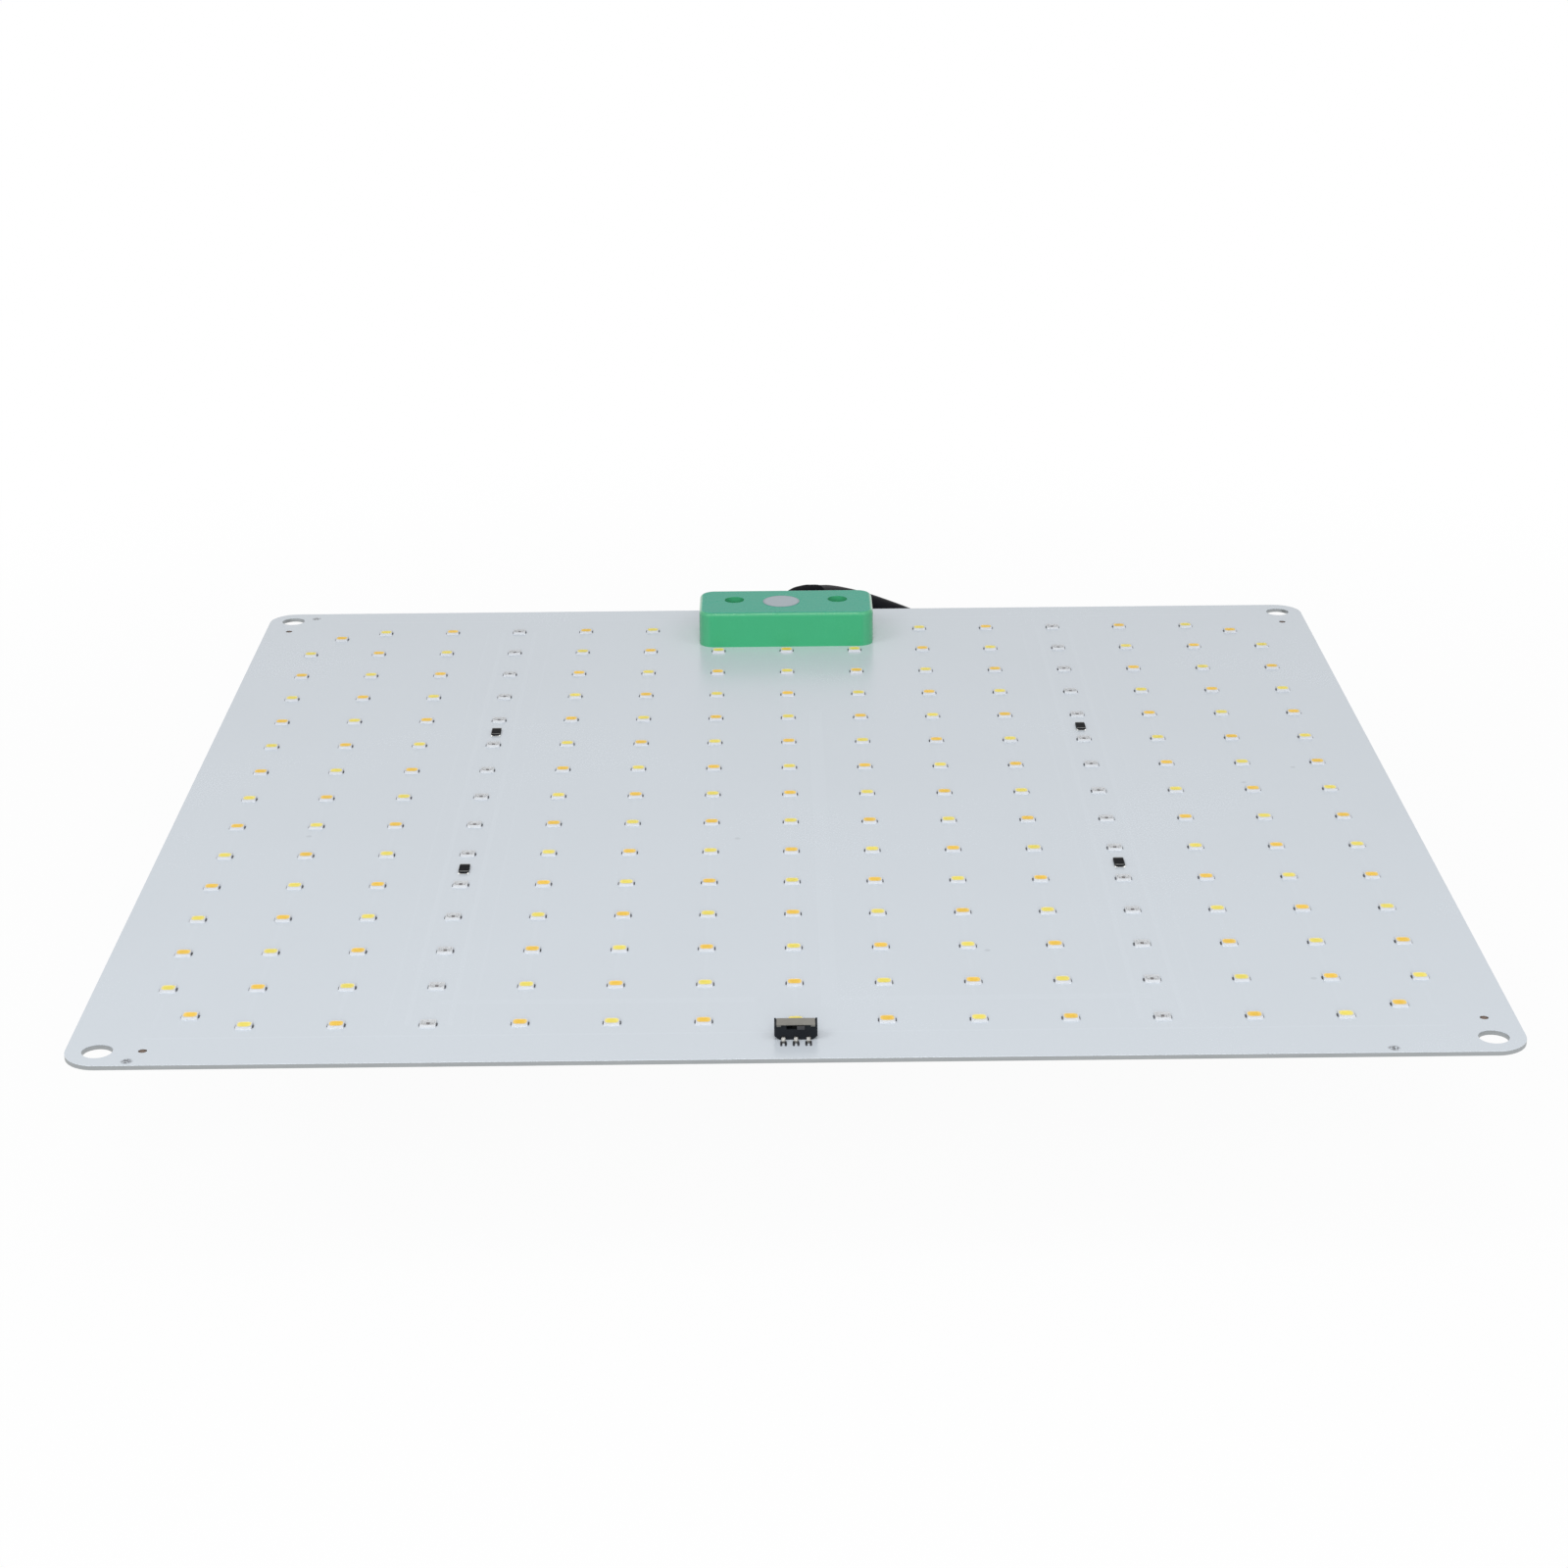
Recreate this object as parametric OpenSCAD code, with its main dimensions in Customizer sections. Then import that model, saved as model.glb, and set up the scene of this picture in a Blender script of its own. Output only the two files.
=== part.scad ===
// LED grow light board: a square aluminium circuit board with a field of surface-mounted lamps,
// a slide switch at the front edge, and a mains driver under a moulded cover at the rear edge.
// Millimetres, +Z up. The origin is the centre of the four hanging holes, on the board's underside.

/* [Board] */
// Width of the board, along X
board_w = 290; // [270:1:340]
// Depth of the board, along Y
board_d = 290; // [280:1:340]
// Thickness of the aluminium base
base_t = 0.9; // [0.7:0.1:2.5]
// Thickness of the white circuit layer bonded to it
face_t = 0.1; // [0.06:0.01:0.3]
// Radius of the board's corners
board_corner_r = 7; // [3:0.5:10]
// Diameter of the hanging holes
hole_d = 6; // [4:0.1:8]
// Width of the bare ring that the white layer leaves round a hanging hole
bare_ring = 0.1; // [0.05:0.05:1.5]
// Distance of the hanging holes from both edges
hole_inset = 6.5; // [5.5:0.1:10]
// Diameter of the tooling holes
tooling_hole_d = 1.8; // [1:0.1:2.5]
// Distance of each tooling hole from its hanging hole
tooling_step = 9; // [7:0.5:12]

/* [Lamps] */
// Lamps in a row
led_columns = 15; // [9:2:15]
// Lamps in a column
led_rows = 15; // [9:2:15]
// Distance between columns
led_pitch_x = 18.5; // [14:0.05:19]
// Distance between rows
led_pitch_y = 18.15; // [14:0.05:18.6]
// Column of deep red lamps, counted from each side
red_columns = 4; // [2:1:6]
// Shift of the lamp field from the board's middle, along Y
field_shift = -0.75; // [-1.5:0.05:1]
// Shift of the four corner lamps towards the middle, along X
corner_shift_x = 6.8; // [0:0.1:9]
// Shift of the four corner lamps towards the middle, along Y
corner_shift_y = 4.9; // [0:0.1:9]
// Length of a lamp's moulded body
led_l = 3.2; // [2.6:0.1:4]
// Width of a lamp's moulded body
led_w = 2.8; // [2.4:0.1:4]
// Height of a lamp's moulded body
led_h = 0.55; // [0.5:0.05:1.2]
// Width of the rim at a lamp's ends
end_rim = 0.2; // [0.15:0.05:0.4]
// Width of the rim at a lamp's front and rear
side_rim = 0.25; // [0.15:0.05:0.5]
// Corner radius of a lamp's window
window_r = 0.8; // [0.2:0.05:0.9]
// Depth of a lamp's window
window_depth = 0.3; // [0.2:0.05:0.4]
// Length of a lamp's solder terminal, along X
terminal_l = 0.3; // [0.2:0.05:0.9]
// Width of a lamp's solder terminal
terminal_w = 1.4; // [1:0.1:2.4]
// Height of a lamp's solder terminal
terminal_h = 0.3; // [0.2:0.05:0.5]
// Side of the red lamp's square chip
die_w = 0.7; // [0.5:0.1:1.2]
// Height of the red lamp's chip
die_h = 0.15; // [0.1:0.01:0.18]

/* [Chip resistors] */
// Distance of a chip resistor from the board's middle, in columns
resistor_columns = 4; // [1:1:6]
// Distance of a chip resistor from the board's middle, in rows
resistor_rows = 2.5; // [0.5:1:6.5]
// Width of a chip resistor, along X
resistor_w = 2.3; // [1.6:0.1:3.2]
// Length of a chip resistor's black body, along Y
resistor_l = 3.7; // [2:0.1:6]
// Height of a chip resistor
resistor_h = 0.55; // [0.4:0.05:1]
// Length of each metal end cap
end_cap_l = 0.4; // [0.3:0.05:0.8]

/* [Driver cover] */
// Width of the driver cover, along X
cover_w = 47.5; // [44:0.5:60]
// Depth of the driver cover, along Y
cover_d = 21.3; // [20:0.1:26]
// Height of the driver cover
cover_h = 9.6; // [9.4:0.1:14]
// Wall of the driver cover
cover_wall = 1.6; // [1:0.1:2]
// Radius of the cover's upright corners
cover_corner_r = 4; // [2:0.1:5]
// Radius of the cover's top edges
cover_edge_r = 1; // [0.4:0.1:1.5]
// Board left free behind the cover
cover_back_gap = 12; // [6:0.1:12.5]
// Distance of the screw wells from the cover's ends
screw_inset = 9.55; // [9:0.05:11]
// Distance of the screw wells behind the cover's middle
screw_back = 1.8; // [0:0.1:2.5]
// Diameter of a screw well
well_d = 5.4; // [4.8:0.1:5.6]
// Wall of the post round a screw well
post_wall = 1.2; // [0.8:0.1:1.4]
// Floor under the screw head
well_floor = 2.2; // [1.2:0.1:3]
// Thread diameter of a cover screw
screw_d = 2.6; // [2:0.1:3]
// Head diameter of a cover screw
screw_head_d = 4.5; // [4:0.1:4.7]
// Head height of a cover screw
screw_head_h = 1.8; // [1.2:0.1:2.4]
// Diameter of the round sticker
sticker_d = 10; // [6:0.5:14]
// Thickness of the sticker
sticker_t = 0.1; // [0.05:0.01:0.2]
// Shift of the sticker from the cover's middle
sticker_shift = -1.3; // [-3:0.1:3]

/* [Slide switch] */
// Width of the switch, along X
switch_w = 8.6; // [8:0.1:12]
// Depth of the switch, along Y
switch_d = 2.9; // [2.8:0.1:5]
// Height of the switch
switch_h = 3.4; // [3:0.05:4]
// Board left free in front of the switch
switch_front_gap = 8.5; // [6:0.1:9]
// Distance of the switch's steel cover from the base's ends
plate_inset = 0.45; // [0.3:0.05:0.8]
// Thickness of the steel cover and its folded tabs
sheet_t = 0.2; // [0.15:0.05:0.3]
// Side wall of the switch base
base_wall = 0.6; // [0.4:0.05:0.7]
// Floor of the switch base
base_floor = 0.8; // [0.6:0.05:0.9]
// Travel of the slider
slider_travel = 2; // [1:0.1:2.4]
// Length of the slider's block, along X
slider_l = 3.6; // [3.5:0.1:4]
// Width of the slider's knob
knob_w = 1.6; // [1.2:0.1:2]
// Height of the slider's knob
knob_h = 0.8; // [0.6:0.1:1.1]
// How far the knob stands out of the base
knob_out = 0.5; // [0.4:0.1:2]
// Distance between the switch's pins
pin_pitch = 2.5; // [2:0.1:2.6]
// Width of a pin
pin_w = 0.8; // [0.5:0.1:0.9]
// Thickness of a pin
pin_t = 0.25; // [0.15:0.05:0.3]
// How far a pin's foot reaches in front of the base
pin_reach = 1.8; // [1.4:0.1:2.5]

/* [Mains lead] */
// Diameter of the lead
cord_d = 6.2; // [5.6:0.1:6.4]
// Diameter of the strain relief where it leaves the cover
relief_d = 7; // [6.9:0.1:7.8]
// Diameter of the strain relief at its tip
relief_tip_d = 6.5; // [6.4:0.1:7]
// Diameter of the strain relief's neck inside the cover's wall
relief_neck_d = 6.8; // [6.6:0.1:7]
// Radius of the coil's outer turn
coil_turn_r = 46.5; // [42:0.1:52]
// Width of the tie round the coil, in degrees of the coil
tie_angle = 12; // [8:1:20]
// Thickness of the tie
tie_t = 0.8; // [0.5:0.1:1]

/* [Plug] */
// Width of the plug's face
plug_w = 24; // [22:0.5:28]
// Height of the plug's face
plug_h = 26; // [25:0.5:28]
// Length of the plug's body
plug_l = 30; // [26:1:40]
// Length of the tapered boot behind it
boot_l = 22; // [20:1:40]
// Distance between the two blades
blade_pitch = 12.7; // [10:0.1:14]
// Length of a blade
blade_l = 17; // [14:0.5:20]
// Width of a blade
blade_w = 6.35; // [4:0.05:7]
// Thickness of a blade
blade_t = 1.5; // [1.2:0.1:2]
// Diameter of the ground pin
ground_d = 4.8; // [4:0.1:5]
// Length of the ground pin
ground_l = 20; // [16:0.5:24]
// Distance of the ground pin from the blades
ground_drop = 11.9; // [10:0.1:12.5]

/* [Hidden] */
$fn = 48;

// Clearance of a part that slides, and of a screw or pin in its hole
slide_gap = 0.08;
hole_gap = 0.3;
// How far a cut reaches past the surface that it opens
cut = 1;
face_z = base_t + face_t;

// Places on the board
hole_x = board_w / 2 - hole_inset;
hole_y = board_d / 2 - hole_inset;
cover_y = board_d / 2 - cover_back_gap - cover_d / 2;
cover_top_z = face_z + cover_h;
cover_rear_y = cover_y + cover_d / 2;
switch_y = -board_d / 2 + switch_front_gap + switch_d / 2;
middle_column = (led_columns + 1) / 2;
middle_row = (led_rows + 1) / 2;

// A lamp's place: column 1 is at the left, row 1 at the rear
function is_corner(c, r) = (c == 1 || c == led_columns) && (r == 1 || r == led_rows);
function corner_shift(c, r) = is_corner(c, r) ? [corner_shift_x, corner_shift_y] : [0, 0];
function led_x(c, r) = (c - middle_column) * led_pitch_x - sign(c - middle_column) * corner_shift(c, r)[0];
function row_y(rows) = field_shift + rows * led_pitch_y;
function led_y(c, r) = row_y(middle_row - r) - sign(middle_row - r) * corner_shift(c, r)[1];
led_reach = led_l / 2 + terminal_l;
function under(c, r, y, w, d) =
    abs(led_x(c, r)) < w / 2 + led_reach && abs(led_y(c, r) - y) < (d + led_w) / 2;
function has_room(c, r) =
    !under(c, r, cover_y, cover_w, cover_d) && !under(c, r, switch_y, switch_w, switch_d);
function is_red(c) = c == red_columns || c == led_columns + 1 - red_columns;
function is_warm(c, r) = (c + r) % 2 == 0;
lamps = [for (c = [1:led_columns], r = [1:led_rows]) if (has_room(c, r)) [c, r]];
red_lamps = [for (p = lamps) if (is_red(p[0])) p];
warm_lamps = [for (p = lamps) if (!is_red(p[0]) && is_warm(p[0], p[1])) p];
cool_lamps = [for (p = lamps) if (!is_red(p[0]) && !is_warm(p[0], p[1])) p];
window_l = led_l - 2 * end_rim;
window_w = led_w - 2 * side_rim;

// The switch, measured from its middle at the board's face
plate_w = switch_w - 2 * plate_inset;
base_top = switch_h - sheet_t;
channel_l = slider_l + slider_travel + 2 * slide_gap;
channel_d = switch_d - 2 * base_wall;
slider_d = channel_d - 2 * slide_gap;
contact_t = 0.2;
slider_z = base_floor + contact_t + 2 * slide_gap;
slider_h = base_top - slider_z - slide_gap;
knob_z = base_top - slide_gap - knob_h;
contact_l = pin_pitch + pin_w;
pin_inset = 0.3;
switch_rest = slider_travel / 2;

// The driver's room under the cover
room_w = cover_w - 2 * cover_wall;
room_d = cover_d - 2 * cover_wall;
room_h = cover_h - cover_wall;
post_d = well_d + 2 * post_wall;
screw_x = cover_w / 2 - screw_inset;
screw_y = cover_y + screw_back;
// Where the lead leaves the cover's rear wall
exit = [1, cover_rear_y, face_z + room_h / 2];
collar_l = 1.6;
wire_d = 2;
mound_h = 0.7;
mound_d = 1.5 * wire_d;
mound_gap = 1;
pad_step = screw_x - post_d / 2 - mound_d / 2 - mound_gap - exit[0];
pad_y = cover_y + 1;
wire_pads = [for (i = [-1:1]) [exit[0] + i * pad_step, pad_y + abs(i) - 1]];

// The lead bends over the board's rear edge and winds down to its coil. Its points, and the places
// of the coil and the plug, are measured from where it leaves the cover.
relief_route = [
    [0, 0.7, 0], [0.8, 5.2, 0], [2.4, 9.9, -0.2], [4.8, 14.9, -1.1], [6.3, 17.5, -1.8], [7.9, 19.9, -2.5]
];
lead_route = [
    [7.9, 19.9, -2.5], [9.5, 22.3, -3.2], [12, 26, -4.4], [15.1, 29.4, -6], [20.1, 33.1, -8.4],
    [27.3, 36.1, -11.8], [36.6, 37.7, -16.1], [46, 37.5, -20.8], [55, 35.1, -25.2], [64, 30, -30.4],
    [72, 22.9, -35.6], [78.5, 14.1, -40.4], [82.7, 4.5, -44.5], [84.5, -8.5, -48.1]
];
plug_route = [
    [22, -48.1, -44.8], [9, -48.1, -44.5], [-3, -48.2, -43.4], [-14, -48.4, -42.2], [-21, -48.4, -42],
    [-27, -48.4, -42]
];
coil_place = [37.1, -8.5, -55];
tie_turn = 100;

// The coil: turns wound inwards on the surface below, and then outwards on top of those
lower_turns = 3.5;
upper_turns = 2.4;
turn_gap = 0.1;
turn_pitch = cord_d + turn_gap;
coil_outer_r = coil_turn_r + cord_d / 2;
coil_inner_r = coil_outer_r - cord_d - lower_turns * turn_pitch;
upper_outer_r = coil_inner_r + cord_d + upper_turns * turn_pitch;
coil_h = 2 * cord_d + turn_gap;

// The plug lies beside the coil, with its blades pointing to -X
plug_end = plug_route[len(plug_route) - 1];
plug_face_x = plug_end[0] - boot_l - plug_l;
plug_corner_r = 5;
blade_lift = 4;

// Rounded rectangle in the plane
module rounded_square(w, d, r) {
    square([w - 2 * r, d], center = true);
    square([w, d - 2 * r], center = true);
    for (x = [-1, 1], y = [-1, 1])
        translate([x * (w / 2 - r), y * (d / 2 - r)])
            circle(r);
}

// Upright rectangle with its two top corners rounded
module topped_square(w, h, r) {
    translate([-w / 2, 0])
        square([w, h - r]);
    translate([-w / 2 + r, 0])
        square([w - 2 * r, h]);
    for (x = [-1, 1])
        translate([x * (w / 2 - r), h - r])
            circle(r);
}

// Box with rounded upright corners and rounded top edges
module soft_box(w, d, h, corner_r, edge_r) {
    translate([-w / 2 + corner_r, 0, 0])
        rotate([90, 0, 90])
            linear_extrude(w - 2 * corner_r)
                topped_square(d, h, edge_r);
    translate([0, d / 2 - corner_r, 0])
        rotate([90, 0, 0])
            linear_extrude(d - 2 * corner_r)
                topped_square(w, h, edge_r);
    for (x = [-1, 1], y = [-1, 1])
        translate([x * (w / 2 - corner_r), y * (d / 2 - corner_r), 0])
            rotate_extrude()
                intersection() {
                    topped_square(2 * corner_r, h, edge_r);
                    square([corner_r, h]);
                }
}

// Tube along a list of points, with one radius for each point
function unit(v) = v / norm(v);
function heading(points, i) =
    unit(points[min(i + 1, len(points) - 1)] - points[max(i - 1, 0)]);
function ring(centre, along, radius, sides) =
    let (side = unit(cross(along, [0, 0, 1])), up = cross(side, along))
    [for (k = [0:sides - 1]) centre + radius * (side * cos(360 * k / sides) + up * sin(360 * k / sides))];
module tube(points, radii, sides) {
    last = len(points) - 1;
    corners = [for (i = [0:last]) each ring(points[i], heading(points, i), radii[i], sides)];
    walls = [
        for (i = [0:last - 1], k = [0:sides - 1])
            let (a = i * sides + k, b = i * sides + (k + 1) % sides)
            each [[a, a + sides, b], [b, a + sides, b + sides]]
    ];
    first_cap = [for (k = [0:sides - 1]) k];
    last_cap = [for (k = [sides - 1:-1:0]) last * sides + k];
    polyhedron(corners, concat(walls, [first_cap, last_cap]));
}
function same(value, points) = [for (p = points) value];

// The board's outline with its hanging holes and tooling holes
module board_layer(thickness, hanging_d) {
    difference() {
        linear_extrude(thickness)
            rounded_square(board_w, board_d, board_corner_r);
        for (x = [-1, 1], y = [-1, 1]) {
            step = x < 0 && y < 0 ? [tooling_step, 0] : [0, tooling_step];
            translate([x * hole_x, y * hole_y, -cut])
                cylinder(d = hanging_d, h = thickness + 2 * cut);
            translate([x * (hole_x - step[0]), y * (hole_y - step[1]), -cut])
                cylinder(d = tooling_hole_d, h = thickness + 2 * cut);
        }
        for (x = [-1, 1])
            translate([x * screw_x, screw_y, -cut])
                cylinder(d = screw_d + hole_gap, h = thickness + 2 * cut);
    }
}

module aluminium_base() {
    color("#a5aaac")
        board_layer(base_t, hole_d);
}

module white_face() {
    color("#e8ecf0")
        translate([0, 0, base_t])
            board_layer(face_t, hole_d + 2 * bare_ring);
}

module at_lamps(places) {
    for (p = places)
        translate([led_x(p[0], p[1]), led_y(p[0], p[1]), face_z])
            children();
}

module window_fill() {
    translate([0, 0, led_h - window_depth])
        linear_extrude(window_depth)
            rounded_square(window_l, window_w, window_r);
}

module led_housings() {
    color("#f4f4f0")
        at_lamps(lamps)
            difference() {
                translate([-led_l / 2, -led_w / 2, 0])
                    cube([led_l, led_w, led_h]);
                translate([0, 0, led_h - window_depth])
                    linear_extrude(window_depth + cut)
                        rounded_square(window_l, window_w, window_r);
            }
}

module warm_phosphor() {
    color("#fccd6e")
        at_lamps(warm_lamps)
            window_fill();
}

module cool_phosphor() {
    color("#f0e178")
        at_lamps(cool_lamps)
            window_fill();
}

module red_die() {
    translate([-die_w / 2, -die_w / 2, led_h - window_depth])
        cube([die_w, die_w, die_h]);
}

module red_lenses() {
    color("#e6e6e2", 0.6)
        at_lamps(red_lamps)
            difference() {
                window_fill();
                red_die();
            }
}

module red_dies() {
    color("#5a2226")
        at_lamps(red_lamps)
            red_die();
}

module led_terminals() {
    color("#8b8f92")
        at_lamps(lamps)
            for (x = [-1, 1])
                translate([x * (led_l + terminal_l) / 2 - terminal_l / 2, -terminal_w / 2, 0])
                    cube([terminal_l, terminal_w, terminal_h]);
}

module at_resistors() {
    for (x = [-1, 1], y = [-1, 1])
        translate([x * resistor_columns * led_pitch_x, row_y(y * resistor_rows), face_z])
            children();
}

module resistor_bodies() {
    color("#232427")
        at_resistors()
            translate([-resistor_w / 2, -resistor_l / 2, 0])
                cube([resistor_w, resistor_l, resistor_h]);
}

module resistor_end_caps() {
    color("#b9bcbe")
        at_resistors()
            for (y = [-1, 1])
                translate([-resistor_w / 2, y * (resistor_l + end_cap_l) / 2 - end_cap_l / 2, 0])
                    cube([resistor_w, end_cap_l, resistor_h]);
}

module at_switch() {
    translate([0, switch_y, face_z])
        children();
}

// A pin: a flat contact in the base's floor, a bend in front of the base and a foot on the board
module pin_profile() {
    front = -switch_d / 2;
    inner = channel_d / 2 - pin_inset;
    top = base_floor;
    foot = front - pin_reach;
    bend = pin_reach / 3;
    polygon([
        [inner, top], [front - bend, top], [front - 2 * bend, pin_t], [foot, pin_t], [foot, 0],
        [front - 2 * bend - pin_t, 0], [front - bend - pin_t, top - pin_t], [inner, top - pin_t]
    ]);
}

module at_pins() {
    for (i = [-1, 0, 1])
        translate([i * pin_pitch, 0, 0])
            children();
}

module switch_pins() {
    color("#c9ccce")
        at_switch()
            at_pins()
                translate([-pin_w / 2, 0, 0])
                    rotate([90, 0, 90])
                        linear_extrude(pin_w)
                            pin_profile();
}

// Moulded base: cut-off feet, a channel for the slider, a slot for its knob, grooves for the pins,
// and a post at each rear corner beside the steel cover
module switch_base() {
    half = switch_w / 2;
    foot_w = 1;
    foot_h = 0.8;
    post = (switch_w - plate_w) / 2 - slide_gap;
    post_lift = 0.05;
    slot_w = knob_w + slider_travel + 2 * slide_gap;
    color("#232629")
        at_switch() {
            difference() {
                translate([0, switch_d / 2, 0])
                    rotate([90, 0, 0])
                        linear_extrude(switch_d)
                            polygon([
                                [-half, base_top], [-half, foot_h], [foot_w - half, 0],
                                [half - foot_w, 0], [half, foot_h], [half, base_top]
                            ]);
                translate([-channel_l / 2, -channel_d / 2, base_floor])
                    cube([channel_l, channel_d, base_top]);
                translate([-slot_w / 2, -switch_d, knob_z - slide_gap])
                    cube([slot_w, switch_d, base_top]);
                at_pins()
                    translate([-pin_w / 2, -switch_d, base_floor - pin_t])
                        cube([pin_w, switch_d + channel_d / 2 - pin_inset, pin_t]);
            }
            for (x = [-1, 1])
                translate([x * (switch_w - post) / 2 - post / 2, switch_d / 2 - post, base_top - post])
                    cube([post, post, post + sheet_t + post_lift]);
        }
}

// Steel cover: a flat top with a short tab folded down over the front at each end
module switch_cover() {
    tab_w = 0.9;
    tab_h = 0.3;
    color("#8c8a84")
        at_switch() {
            translate([-plate_w / 2, -switch_d / 2 - sheet_t, base_top])
                cube([plate_w, switch_d + sheet_t, sheet_t]);
            for (x = [-1, 1])
                translate([x * (plate_w - tab_w) / 2 - tab_w / 2, -switch_d / 2 - sheet_t, base_top - tab_h])
                    cube([tab_w, sheet_t, tab_h + sheet_t]);
        }
}

// Slider at rest, at the right end of its travel, with its knob through the slot
module switch_slider() {
    color("#3c3f43")
        at_switch()
            translate([switch_rest, 0, 0]) {
                translate([-slider_l / 2, -slider_d / 2, slider_z])
                    cube([slider_l, slider_d, slider_h]);
                translate([-knob_w / 2, -switch_d / 2 - knob_out, knob_z])
                    cube([knob_w, switch_d / 2 + knob_out, knob_h]);
            }
}

// Contact bridge carried under the slider
module switch_contact() {
    color("#c8a35a")
        at_switch()
            translate([switch_rest - contact_l / 2, -slider_d / 4, slider_z - contact_t])
                cube([contact_l, slider_d / 2, contact_t]);
}

module at_screws() {
    for (x = [-1, 1])
        translate([x * screw_x, screw_y, 0])
            children();
}

// Moulded cover: a soft-edged shell with two screw wells and a hole for the strain relief
module driver_cover() {
    color("#48af7d")
        difference() {
            union() {
                difference() {
                    translate([0, cover_y, face_z])
                        soft_box(cover_w, cover_d, cover_h, cover_corner_r, cover_edge_r);
                    translate([0, cover_y, face_z - cut])
                        linear_extrude(room_h + cut)
                            rounded_square(room_w, room_d, cover_corner_r - cover_wall / 2);
                }
                at_screws()
                    translate([0, 0, face_z])
                        cylinder(d = post_d, h = cover_h - cover_wall / 2);
            }
            at_screws() {
                translate([0, 0, face_z + well_floor])
                    cylinder(d = well_d, h = cover_h);
                translate([0, 0, face_z - cut])
                    cylinder(d = screw_d + hole_gap, h = cover_h);
            }
            translate(exit + [0, cut, 0])
                rotate([90, 0, 0])
                    cylinder(d = relief_neck_d + 2 * slide_gap, h = cover_wall + 2 * cut);
        }
}

// Pan-head screws with a cross recess, seated on the floors of the wells and held in the board
module cover_screws() {
    seat_z = face_z + well_floor;
    recess_w = 0.6;
    recess_l = screw_head_d * 2 / 3;
    color("#b4b7ba")
        at_screws()
            difference() {
                union() {
                    cylinder(d = screw_d, h = seat_z + screw_head_h / 2);
                    translate([0, 0, seat_z])
                        cylinder(d = screw_head_d, h = screw_head_h);
                }
                for (turn = [0, 90])
                    rotate(turn)
                        translate([-recess_l / 2, -recess_w / 2, seat_z + screw_head_h / 2])
                            cube([recess_l, recess_w, screw_head_h]);
            }
}

module round_sticker() {
    color("#a5b2b9")
        translate([sticker_shift, cover_y, cover_top_z])
            cylinder(d = sticker_d, h = sticker_t);
}

// Strain relief: a collar inside the cover, a neck in its wall and a tapered boot along the lead
module strain_relief() {
    collar_step = 0.3;
    collar_d = relief_neck_d + 2 * collar_step;
    inside = -cover_wall - slide_gap;
    neck = [[0, inside - collar_l, 0], [0, inside, 0], [0, inside, 0], [0, slide_gap, 0], [0, slide_gap, 0]];
    neck_r = [collar_d, collar_d, relief_neck_d, relief_neck_d, relief_d] / 2;
    steps = len(relief_route) - 1;
    boot_r = [for (i = [0:steps]) (relief_d + (relief_tip_d - relief_d) * i / steps) / 2];
    color("#1d1e20")
        translate(exit)
            tube(concat(neck, relief_route), concat(neck_r, boot_r), 16);
}

// The driver's parts on the board, inside the cover
part_step = screw_x / 2;
part_y = -room_d / 3.5;
rectifier_place = [-part_step, part_y];
rectifier_size = [4.7, 3.9, 2.5];
chip_places = [[0, part_y], [part_step, part_y]];
chip_size = [3.9, 4.9, 1.5];
absorber_size = [2.6, 5, 2];
fuse_size = [2.6, 6.1, 2.4];
lead_lift = 0.2;
lead_pitch = 1.27;
side_x = (screw_x + post_d / 2 + room_w / 2) / 2;

module in_cover(place) {
    translate([place[0], cover_y + place[1], face_z])
        children();
}

// Block that stands centred on the board
module block(size, lift) {
    translate([-size[0] / 2, -size[1] / 2, lift])
        cube([size[0], size[1], size[2] - lift]);
}

module bridge_rectifier() {
    color("#26282a")
        in_cover(rectifier_place)
            block(rectifier_size, lead_lift);
}

// Bent lead: it leaves the body's side half way up and ends in a foot on the board
module bent_lead(width, height, reach) {
    t = lead_lift;
    translate([0, width / 2, 0])
        rotate([90, 0, 0])
            linear_extrude(width)
                polygon([
                    [0, height], [reach / 2, height], [reach / 2, t], [reach, t], [reach, 0],
                    [reach / 2 - t, 0], [reach / 2 - t, height - t], [0, height - t]
                ]);
}

module rectifier_leads() {
    lead_w = 0.7;
    reach = 1.3;
    color("#c4c7c9")
        in_cover(rectifier_place)
            for (side = [-1, 1], x = [-1, 1])
                translate([x * lead_pitch, side * rectifier_size[1] / 2, 0])
                    rotate(side * 90)
                        bent_lead(lead_w, rectifier_size[2] / 2, reach);
}

module driver_chips() {
    color("#26282a")
        for (place = chip_places)
            in_cover(place)
                block(chip_size, lead_lift);
}

module driver_chip_leads() {
    lead_w = 0.42;
    reach = 1.05;
    color("#c4c7c9")
        for (place = chip_places)
            in_cover(place)
                for (turn = [0, 180], i = [-1.5:1:1.5])
                    rotate(turn)
                        translate([chip_size[0] / 2, i * lead_pitch, 0])
                            bent_lead(lead_w, chip_size[2] / 2, reach);
}

module surge_absorber() {
    color("#3f6fa8")
        in_cover([side_x, 0])
            block(absorber_size, 0);
}

module fuse() {
    color("#d8d2c4")
        in_cover([-side_x, 0])
            block(fuse_size, 0);
}

// One conductor from the strain relief's inner end down to its solder mound
module core_wire(i) {
    spacing = wire_d + 0.2;
    straight = 1.2;
    arch = 0.8;
    start = exit + [(i - 1) * spacing, -cover_wall - slide_gap - collar_l, 0];
    end = [wire_pads[i][0], wire_pads[i][1], face_z + mound_h + wire_d * 0.55];
    middle = (start + end) / 2 + [0, 0, arch];
    route = [start, start - [0, straight, 0], middle, end + [0, straight, arch / 2], end];
    tube(route, same(wire_d / 2, route), 8);
}

module live_wire() {
    color("#7a4a2c")
        core_wire(0);
}

module neutral_wire() {
    color("#2f5fa8")
        core_wire(2);
}

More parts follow.
